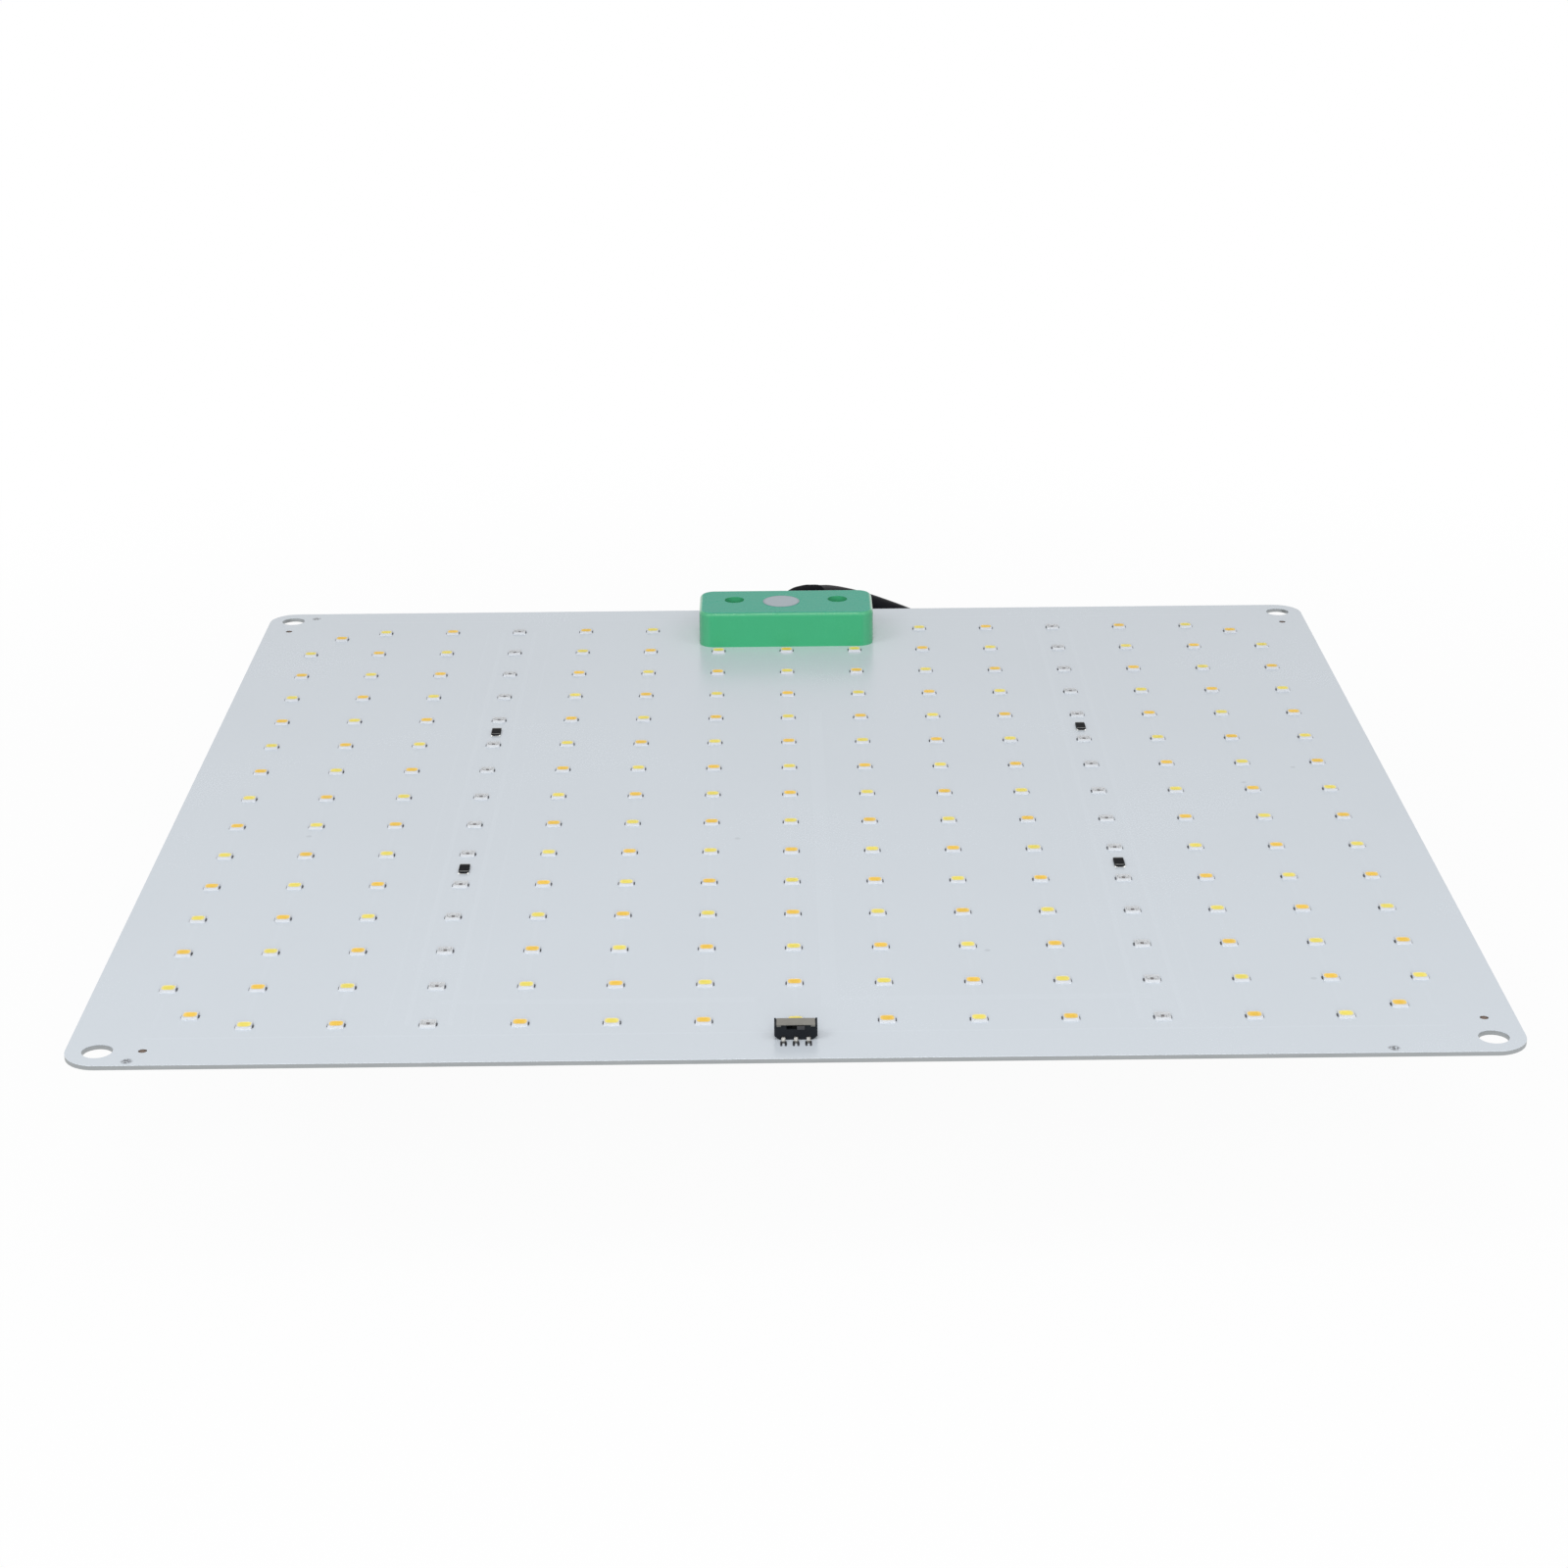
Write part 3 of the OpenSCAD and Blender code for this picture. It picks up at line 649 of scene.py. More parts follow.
@dataclass(frozen=True)
class Strap:
    """Woven strap of the lead's tie."""

    name: str = "tie_strap"
    colour: Colour = srgb(44, 45, 48)
    shades: Pair = (0.6, 1.5)
    weave_scale: float = 450.0
    weave_wander: float = 1.5
    relief: float = 0.08 * MM
    roughness: float = 0.7
    weave_gloss: float = 0.2

    def make(self) -> Material:
        """Build the material.

        Returns:
            The finished material.
        """
        graph = Graph.of_material(self.name)
        inputs = {"Vector": graph.place, "Scale": self.weave_scale, "Distortion": self.weave_wander}
        weave = graph.node("ShaderNodeTexWave", {"bands_direction": "DIAGONAL"}, inputs)
        return graph.surface({
            "Base Color": graph.varied(weave, self.colour, self.shades),
            "Roughness": self.roughness + weave * self.weave_gloss,
            "Normal": graph.bump(weave, self.relief),
        })


Finish = Moulded | Metal | SolderMask | Phosphor | ClearResin | Paper | Strap


@dataclass(frozen=True)
class Finishes:
    """Every finish of the part, by the surface that has it."""

    mask: Finish = SolderMask()
    aluminium: Finish = Metal(
        "milled_aluminium", srgb(172, 176, 178), 0.42, Streak.ALONG_X, 0.5 * MM, tarnish=0.06,
        stains=((-129.5, -138.5), (138.5, -129.5), (-138.5, 129.5), (138.5, 129.5)),
    )
    housing: Finish = Moulded(
        "lamp_housing_resin", srgb(215, 217, 220), 0.45, 0.1 * MM, 0.004 * MM, 0.02, 0.3
    )
    warm: Finish = Phosphor("warm_phosphor_silicone", srgb(255, 208, 80), srgb(255, 228, 160))
    cool: Finish = Phosphor("cool_phosphor_silicone", srgb(250, 231, 106), srgb(254, 243, 180))
    resin: Finish = ClearResin()
    chip: Finish = Moulded(
        "lamp_chip_dark", srgb(50, 32, 36), 0.35, 0.05 * MM, 0.003 * MM, specular=0.2
    )
    bond: Finish = Metal(
        "bond_wire_gold", srgb(96, 92, 88), 0.35, grain=0.05 * MM, relief=0.002 * MM
    )
    # Solder painted dark grey: the colour stands in for the dark reflections and shade on bright
    # solder
    solder_painted_dark: Finish = Metal(
        "solder_painted_dark", srgb(88, 89, 94), 0.4, grain=0.15 * MM, relief=0.01 * MM
    )
    bright_solder: Finish = Metal(
        "bright_solder", srgb(214, 212, 206), 0.28, grain=0.2 * MM, relief=0.02 * MM
    )
    fillet: Finish = Metal(
        "solder_fillet", srgb(240, 240, 236), 0.55, grain=0.2 * MM, relief=0.01 * MM, tarnish=0.1
    )
    # Dark end caps whose lighter level top is a painted reflection
    cap: Finish = Metal(
        "end_cap_metal", srgb(46, 47, 51), 0.4, grain=0.15 * MM, relief=0.01 * MM, tarnish=0.2,
        painted_top_reflection=srgb(122, 122, 120),
    )
    glaze: Finish = Moulded(
        "black_glaze", srgb(18, 19, 22), 0.45, 0.1 * MM, 0.005 * MM, 0.15, 0.02
    )
    switch_black: Finish = Moulded(
        "switch_moulding", srgb(32, 35, 39), 0.45, 0.12 * MM, 0.008 * MM, 0.12, 0.08
    )
    # Knob moulding painted dark behind the slot's front, as painted shade of the slot
    knob: Finish = Moulded(
        "switch_knob_moulding", srgb(66, 67, 70), 0.5, 0.15 * MM, 0.012 * MM, 0.15, 0.08,
        painted_shade_front=-136.4,
    )
    tin: Finish = Metal(
        "tinned_pin", srgb(150, 150, 147), 0.42, grain=0.2 * MM, relief=0.02 * MM
    )
    switch_steel: Finish = Metal(
        "switch_sheet_steel", srgb(137, 135, 129), 0.4, Streak.ALONG_X, 0.25 * MM
    )
    brass: Finish = Metal("bright_brass", srgb(214, 184, 116), 0.26, Streak.ALONG_X, 0.4 * MM)
    # Green moulding whose bluer, paler level top is a painted reflection of the white room
    green: Finish = Moulded(
        "green_moulding", srgb(70, 173, 123), 0.26, 0.3 * MM, 0.001 * MM, 0.02, 0.1,
        painted_top_reflection=srgb(52, 170, 142),
    )
    zinc: Finish = Metal("zinc_plated_screw", srgb(186, 188, 190), 0.32)
    paper: Finish = Paper()
    rubber: Finish = Moulded(
        "strain_relief_rubber", srgb(20, 21, 25), 0.5, 0.3 * MM, 0.006 * MM, 0.12, 0.004
    )
    sheath: Finish = Moulded(
        "lead_sheath", srgb(22, 23, 27), 0.46, 0.4 * MM, 0.006 * MM, 0.1, 0.06
    )
    plug: Finish = Moulded(
        "plug_moulding", srgb(26, 27, 30), 0.46, 0.35 * MM, 0.02 * MM, 0.1, 0.2
    )
    strap: Finish = Strap()
    package: Finish = Moulded("chip_package", srgb(40, 41, 44), 0.55, 0.1 * MM, mottle=0.1)
    lacquer: Finish = Moulded("absorber_lacquer", srgb(62, 108, 166), 0.35, 0.4 * MM, 0.02 * MM)
    ceramic: Finish = Moulded("fuse_ceramic", srgb(214, 208, 196), 0.6, 0.15 * MM)
    brown_wire: Finish = Moulded("brown_wire_sleeve", srgb(122, 74, 44), 0.4, 0.2 * MM)
    blue_wire: Finish = Moulded("blue_wire_sleeve", srgb(48, 94, 168), 0.4, 0.2 * MM)
    green_wire: Finish = Moulded("green_wire_sleeve", srgb(112, 154, 58), 0.4, 0.2 * MM)


class Painter:
    """Makes each finish once and puts it on solids and pieces."""

    def __init__(self) -> None:
        """Start with no material made."""
        self.made: dict[str, Material] = {}

    def paint(self, thing: Piece, finish: Finish) -> None:
        """Give an object one finish all over.

        Args:
            thing: The object.
            finish: Its finish, whose material is made at its first use.
        """
        if finish.name not in self.made:
            self.made[finish.name] = finish.make()
        thing.data.materials.clear()
        thing.data.materials.append(self.made[finish.name])

    def solid(self, node: str, finish: Finish) -> None:
        """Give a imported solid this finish."""
        self.paint(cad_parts[node], finish)
        LOG.info("solid %s: %s", node, finish.name)

    def add(self, piece: Piece, finish: Finish, slot: Slot, *stands_for: str) -> None:
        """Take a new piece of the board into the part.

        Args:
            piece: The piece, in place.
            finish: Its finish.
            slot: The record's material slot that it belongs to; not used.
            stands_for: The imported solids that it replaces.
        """
        self.paint(piece, finish)
        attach(piece, BOARD_BODY)
        if stands_for:
            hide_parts(*stands_for)
        LOG.info("piece %s: %s", piece.name, finish.name)


def mesh_piece(name: str, shape: Shape, crease: float = CREASE) -> Piece:
    """Turn a finished bmesh into an object with smooth faces and sharp creases.

    Args:
        name: Name of the piece.
        shape: Its geometry, in metres in the part's frame.
        crease: Angle in degrees above which an edge stays sharp.

    Returns:
        The object, linked to the scene.
    """
    bmesh.ops.recalc_face_normals(shape, faces=shape.faces)
    data = bpy.data.meshes.new(name)
    shape.to_mesh(data)
    shape.free()
    data.shade_smooth()
    data.set_sharp_from_angle(angle=math.radians(crease))
    return linked(name, data)


def linked(name: str, data: bpy.types.ID) -> Piece:
    """Put data into the scene as an object.

    Args:
        name: Name of the object.
        data: Its mesh, curve, light or camera.

    Returns:
        The object.
    """
    thing = bpy.data.objects.new(name, data)
    bpy.context.scene.collection.objects.link(thing)
    return thing


def loft(
    shape: Shape, rings: Sequence[Ring], endless: bool = False
) -> list[list[bmesh.types.BMVert]]:
    """Skin a row of rings that have the same number of points.

    Args:
        shape: The bmesh to add to.
        rings: The rings, in order.
        endless: Whether the last ring is joined to the first; if not, both ends are closed.

    Returns:
        The vertices of each ring.
    """
    rows = [[shape.verts.new(point) for point in ring] for ring in rings]
    for lower, upper in zip(rows, rows[1:] + rows[:1] if endless else rows[1:]):
        for i in range(len(lower)):
            j = (i + 1) % len(lower)
            shape.faces.new((lower[i], lower[j], upper[j], upper[i]))
    if not endless:
        shape.faces.new(rows[0][::-1])
        shape.faces.new(rows[-1])
    return rows


def circle(count: int) -> list[Pair]:
    """Cosine and sine of evenly spaced angles, once round."""
    angles = (2 * math.pi * k / count for k in range(count))
    return [(math.cos(angle), math.sin(angle)) for angle in angles]


def rounded_outline(width: float, height: float, radius: float, steps: int) -> list[Pair]:
    """Points round a rectangle with rounded corners, about its middle.

    Args:
        width: Size along the first axis.
        height: Size along the second axis.
        radius: Radius of the corners.
        steps: Straight pieces in a corner.

    Returns:
        The points, counter-clockwise.
    """
    points = []
    for corner, (x, y) in enumerate(((1, 1), (-1, 1), (-1, -1), (1, -1))):
        for step in range(steps + 1):
            angle = math.pi / 2 * (corner + step / steps)
            points.append((
                x * (width / 2 - radius) + radius * math.cos(angle),
                y * (height / 2 - radius) + radius * math.sin(angle),
            ))
    return points


def islands(node: str) -> list[Box]:
    """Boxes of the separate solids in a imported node.

    Args:
        node: Name of the node.

    Returns:
        Lowest and highest corner of each solid, in metres.
    """
    shape = bmesh.new()
    shape.from_mesh(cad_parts[node].data)
    bmesh.ops.remove_doubles(shape, verts=shape.verts, dist=SAME_POINT)
    seen: set[bmesh.types.BMVert] = set()
    boxes = []
    for start in shape.verts:
        if start in seen:
            continue
        seen.add(start)
        waiting, members = [start], []
        while waiting:
            vert = waiting.pop()
            members.append(vert.co)
            others = {edge.other_vert(vert) for edge in vert.link_edges} - seen
            seen |= others
            waiting += others
        low = Vector(min(point[axis] for point in members) for axis in range(3))
        high = Vector(max(point[axis] for point in members) for axis in range(3))
        boxes.append((low, high))
    shape.free()
    return boxes


def soften(node: str, width: float) -> None:
    """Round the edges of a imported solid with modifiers, leaving its mesh as it is.

    Args:
        node: Name of the node.
        width: Width of the rounding in metres.
    """
    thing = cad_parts[node]
    weld = thing.modifiers.new("join_faces", "WELD")
    weld.merge_threshold = SAME_POINT
    bevel = thing.modifiers.new("soft_edges", "BEVEL")
    bevel.width = width
    bevel.segments = EDGE_FACES
    bevel.limit_method = "ANGLE"
    bevel.angle_limit = math.radians(CREASE)
    thing.modifiers.new("even_shading", "WEIGHTED_NORMAL")


def sweep(points: Sequence[Vector], radii: Sequence[float], sides: int) -> list[Ring]:
    """Round rings along a line.

    Args:
        points: Middle of each ring, in metres.
        radii: Radius of each ring, in metres.
        sides: Points in a ring.

    Returns:
        The rings.
    """
    rings = []
    for i, (centre, radius) in enumerate(zip(points, radii)):
        before, after = points[max(i - 1, 0)], points[min(i + 1, len(points) - 1)]
        along = (after - before).normalized()
        side = along.cross(Vector((0, 0, 1))).normalized()
        up = side.cross(along)
        rings.append([centre + radius * (side * a + up * b) for a, b in circle(sides)])
    return rings


def smooth_line(points: Sequence[Vector], share: float) -> Vector:
    """Point on the smooth line through some points.

    Args:
        points: The points, evenly spread over the line.
        share: How far along the line, from 0 to 1.

    Returns:
        The point.
    """
    spot = min(share, LINE_END) * (len(points) - 1)
    i = int(spot)
    t = spot - i
    a, b = points[max(i - 1, 0)], points[i]
    c, d = points[i + 1], points[min(i + 2, len(points) - 1)]
    square, cube = 2 * a - 5 * b + 4 * c - d, 3 * b - a - 3 * c + d
    return 0.5 * (2 * b + (c - a) * t + square * t * t + cube * t ** 3)


def waves(share: float, start: float, reach: float, count: int) -> float:
    """Height of evenly spaced waves on part of a length.

    Args:
        share: How far along the length, from 0 to 1.
        start: Share at which the waves start.
        reach: Share of the length that they cover.
        count: How many waves.

    Returns:
        A height from 0 to 1.
    """
    covered = max(0.0, min(1.0, (share - start) / reach))
    return 0.5 - 0.5 * math.cos(2 * math.pi * count * covered)


@dataclass
class Assembly:
    """A sub-assembly of the part, with what it needs to dress itself."""

    painter: Painter
    finishes: Finishes

    def dress(self) -> None:
        """Build the new pieces and finish every surface."""
        raise NotImplementedError


@dataclass
class Board(Assembly):
    """The aluminium board and its white circuit layer."""

    def dress(self) -> None:
        """Finish the two layers."""
        self.painter.solid("aluminium_base", self.finishes.aluminium)
        self.painter.solid("white_face", self.finishes.mask)


@dataclass
class LampField(Assembly):
    """The lamps, with dished windows and sloping solder, and the chip resistors.

    A rim or profile is a row of shares: of the piece's reach, then of its height. A fillet has its
    height and share of the reach in the middle, and more of both at the corners.
    """

    dish: float = 0.04 * MM
    dish_power: int = 4
    window_radius: float = 0.8 * MM
    window_steps: int = 4
    window_shares: tuple[float, ...] = (1.0, 0.94, 0.8, 0.55, 0.25)
    rim_start: float = 0.55
    clear_gap: float = 0.012 * MM
    solder_power: float = 3.0
    solder_fall: float = 0.9
    solder_shoulder: Pair = (0.12, 0.8)
    solder_steps: int = 5
    solder_crease: float = 60.0
    bond_reach: float = 0.83 * MM
    bond_arch: tuple[Pair, ...] = ((0.15, 1.0), (0.3, 1.35), (0.55, 1.3), (0.8, 0.6), (0.97, 0.1))
    bond_radius: float = 0.009 * MM
    bond_sides: int = 6
    foot_radius: float = 0.13 * MM
    foot_rim: tuple[Pair, ...] = ((1.0, 0.0), (0.9, 0.12), (0.5, 0.26))
    foot_sides: int = 12
    fillet_reach: float = 0.32 * MM
    fillet_profile: tuple[Pair, ...] = (
        (0.0, 0.0), (1.0, 0.0), (0.55, 0.22), (0.2, 0.6), (0.0, 1.0)
    )
    fillet_height: float = 0.06
    fillet_more_height: float = 0.84
    fillet_share: float = 0.6
    fillet_more_share: float = 0.4
    fillet_corner: int = 6
    fillet_end: int = 30
    fillet_taper: float = 0.2
    fillet_stations: int = 32
    fillet_crease: float = 50.0
    body_edge: float = 0.08 * MM
    cap_edge: float = 0.1 * MM

    def windows(self, name: str, node: str, gap: float = 0.0) -> Piece:
        """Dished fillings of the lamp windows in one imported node.

        Args:
            name: Name of the new piece.
            node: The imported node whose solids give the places.
            gap: Space left between the filling and the housing, for a clear one.

        Returns:
            The fillings as one piece.
        """
        shape = bmesh.new()
        layer = shape.verts.layers.float.new("rim")
        for low, high in islands(node):
            middle, size = (low + high) / 2, high - low
            outline = rounded_outline(
                size.x - 2 * gap, size.y - 2 * gap, self.window_radius, self.window_steps
            )
            levels = [(1.0, low.z + gap)]
            for share in self.window_shares:
                levels.append((share, high.z - self.dish * (1 - share ** self.dish_power)))
            rows = loft(shape, [
                [Vector((middle.x + share * x, middle.y + share * y, z)) for x, y in outline]
                for share, z in levels
            ])
            for row, share in zip(rows[1:], self.window_shares):
                for vert in row:
                    vert[layer] = max(0.0, share - self.rim_start) / (1 - self.rim_start)
        return mesh_piece(name, shape)

    def solder(self) -> Piece:
        """Sloping solder at both ends of every lamp, in place of the plain terminals.

        Returns:
            The solder as one piece.
        """
        lamps = [((low + high) / 2).x for low, high in islands("led_housings")]
        inset, lift = self.solder_shoulder
        shape = bmesh.new()
        for low, high in islands("led_terminals"):
            middle, size = (low + high) / 2, high - low
            lamp_x = min(lamps, key=lambda x: abs(x - middle.x))
            outward = 1.0 if middle.x > lamp_x else -1.0
            start = low.x if outward > 0 else high.x
            rows = []
            for i in range(self.solder_steps + 1):
                along = i / self.solder_steps
                height = size.z * (1 - self.solder_fall * along ** self.solder_power)
                x = start + outward * along * size.x
                rows.append([
                    Vector((x, low.y, low.z)),
                    Vector((x, low.y + inset * size.y, low.z + lift * height)),
                    Vector((x, middle.y, low.z + height)),
                    Vector((x, high.y - inset * size.y, low.z + lift * height)),
                    Vector((x, high.y, low.z)),
                ])
            loft(shape, rows)
        bmesh.ops.remove_doubles(shape, verts=shape.verts, dist=SAME_POINT / 2)
        return mesh_piece("lamp_solder", shape, self.solder_crease)

    def bond_wires(self) -> Piece:
        """Two bond wires in each red lamp, from its chip to a foot at either side.

        Returns:
            The wires and their feet as one piece.
        """
        turns = circle(self.foot_sides)
        shape = bmesh.new()
        for (low, high), side in itertools.product(islands("red_dies"), (-1, 1)):
            middle, height = (low + high) / 2, high.z - low.z
            line = [
                Vector((middle.x + side * share * self.bond_reach, middle.y, low.z + up * height))
                for share, up in self.bond_arch
            ]
            loft(shape, sweep(line, [self.bond_radius] * len(line), self.bond_sides))
            foot = Vector((middle.x + side * self.bond_reach, middle.y, low.z))
            rings = []
            for share, up in self.foot_rim:
                radius, lift = share * self.foot_radius, up * self.foot_radius
                rings.append([foot + Vector((radius * a, radius * b, lift)) for a, b in turns])
            loft(shape, rings)
        return mesh_piece("red_bond_wires", shape, self.solder_crease)

    def resistor_solder(self) -> Piece:
        """Solder fillets at the resistors' ends, higher at the corners than in the middle.

        Returns:
            The fillets as one piece.
        """
        bodies = [(low + high) / 2 for low, high in islands("resistor_bodies")]
        shape = bmesh.new()
        for low, high in islands("resistor_end_caps"):
            middle, size = (low + high) / 2, high - low
            body = min(bodies, key=lambda point: (point - middle).length)
            outward = 1.0 if middle.y > body.y else -1.0
            start = high.y if outward > 0 else low.y
            rings = []
            for i in range(self.fillet_stations + 1):
                share = 2 * i / self.fillet_stations - 1
                corner = abs(share) ** self.fillet_corner
                taper = 1 - abs(share) ** self.fillet_end * self.fillet_taper
                height = size.z * (self.fillet_height + self.fillet_more_height * corner) * taper
                spread = (self.fillet_share + self.fillet_more_share * corner) * taper
                x, reach = middle.x + share * size.x / 2, outward * self.fillet_reach * spread
                rings.append([
                    Vector((x, start + out * reach, low.z + up * height))
                    for out, up in self.fillet_profile
                ])
            loft(shape, rings)
        return mesh_piece("resistor_solder", shape, self.fillet_crease)

    def dress(self) -> None:
        """Build the windows and the solder, and finish the lamps and the resistors."""
        painter, finishes = self.painter, self.finishes
        painter.solid("led_housings", finishes.housing)
        warm = self.windows("warm_windows", "warm_phosphor")
        painter.add(warm, finishes.warm, Slot.WARM, "warm_phosphor")
        cool = self.windows("cool_windows", "cool_phosphor")
        painter.add(cool, finishes.cool, Slot.COOL, "cool_phosphor")
        # the lamps' solder is painted dark, standing in for the dark it mirrors
        painter.add(self.solder(), finishes.solder_painted_dark, Slot.SOLDER, "led_terminals")
        clear = self.windows("clear_windows", "red_lenses", self.clear_gap)
        painter.add(clear, finishes.resin, Slot.RESIN, "red_lenses")
        painter.solid("red_dies", finishes.chip)
        painter.add(self.bond_wires(), finishes.bond, Slot.CHIP)
        painter.add(self.resistor_solder(), finishes.fillet, Slot.SOLDER)
        painter.solid("resistor_bodies", finishes.glaze)
        painter.solid("resistor_end_caps", finishes.cap)
        soften("resistor_bodies", self.body_edge)
        soften("resistor_end_caps", self.cap_edge)


@dataclass
class SlideSwitch(Assembly):
    """The slide switch at the front edge, with solder at its pins."""

    solder_width: float = 0.46 * MM
    solder_length: float = 2.1 * MM
    solder_height: float = 0.4 * MM
    solder_offset: Pair = (0.45 * MM, 0.85 * MM)
    solder_fall: float = 0.6
    solder_power: int = 4
    solder_tip: float = 0.08
    solder_stations: int = 14
    solder_sides: int = 10
    solder_crease: float = 70.0

    def solder(self) -> Piece:
        """Two fillets of solder along the foot of each pin, falling away in front of it.

        Returns:
            The fillets as one piece.
        """
        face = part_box("white_face")[1].z
        aside, behind = self.solder_offset
        turns = [math.pi * k / self.solder_sides for k in range(self.solder_sides + 1)]
        shape = bmesh.new()
        for (low, high), side in itertools.product(islands("switch_pins"), (-1, 1)):
            start = Vector(((low.x + high.x) / 2 + side * aside, low.y + behind, face))
            rings = []
            for step in range(self.solder_stations + 1):
                share = step / self.solder_stations
                full = (1 - (2 * share - 1) ** self.solder_power) ** 0.5
                fullness = max(self.solder_tip, full)
                half_width = fullness * self.solder_width / 2
                height = fullness * self.solder_height * (1 - self.solder_fall * share)
                centre = start - Vector((0, share * self.solder_length, 0))
                rings.append([
                    centre + Vector((half_width * math.cos(turn), 0, height * math.sin(turn)))
                    for turn in turns
                ])
            loft(shape, rings)
        return mesh_piece("pin_solder", shape, self.solder_crease)

    def dress(self) -> None:
        """Build the solder and finish the switch."""
        finishes = self.finishes
        for node, finish, edge in (
            ("switch_base", finishes.switch_black, 0.1 * MM),
            ("switch_cover", finishes.switch_steel, 0.06 * MM),
            ("switch_slider", finishes.knob, 0.12 * MM),
            ("switch_contact", finishes.brass, 0.04 * MM),
            ("switch_pins", finishes.tin, 0.05 * MM),
        ):
            self.painter.solid(node, finish)
            soften(node, edge)
        # the pins' solder is painted dark, standing in for reflected dark and shade
        self.painter.add(self.solder(), finishes.solder_painted_dark, Slot.SOLDER)


@dataclass
class Driver(Assembly):
    """The driver's cover with its screws and sticker, and the parts under it."""

    screw_edge: float = 0.15 * MM

    def dress(self) -> None:
        """Finish the cover and everything under it."""
        finishes = self.finishes
        for node, finish in (
            ("driver_cover", finishes.green),
            ("cover_screws", finishes.zinc),
            ("round_sticker", finishes.paper),
            ("bridge_rectifier", finishes.package),
            ("rectifier_leads", finishes.bright_solder),
            ("driver_chips", finishes.package),
            ("driver_chip_leads", finishes.bright_solder),
            ("surge_absorber", finishes.lacquer),
            ("fuse", finishes.ceramic),
            ("live_wire", finishes.brown_wire),
            ("neutral_wire", finishes.blue_wire),
            ("earth_wire", finishes.green_wire),
            ("solder_mounds", finishes.bright_solder),
        ):
            self.painter.solid(node, finish)
        soften("cover_screws", self.screw_edge)


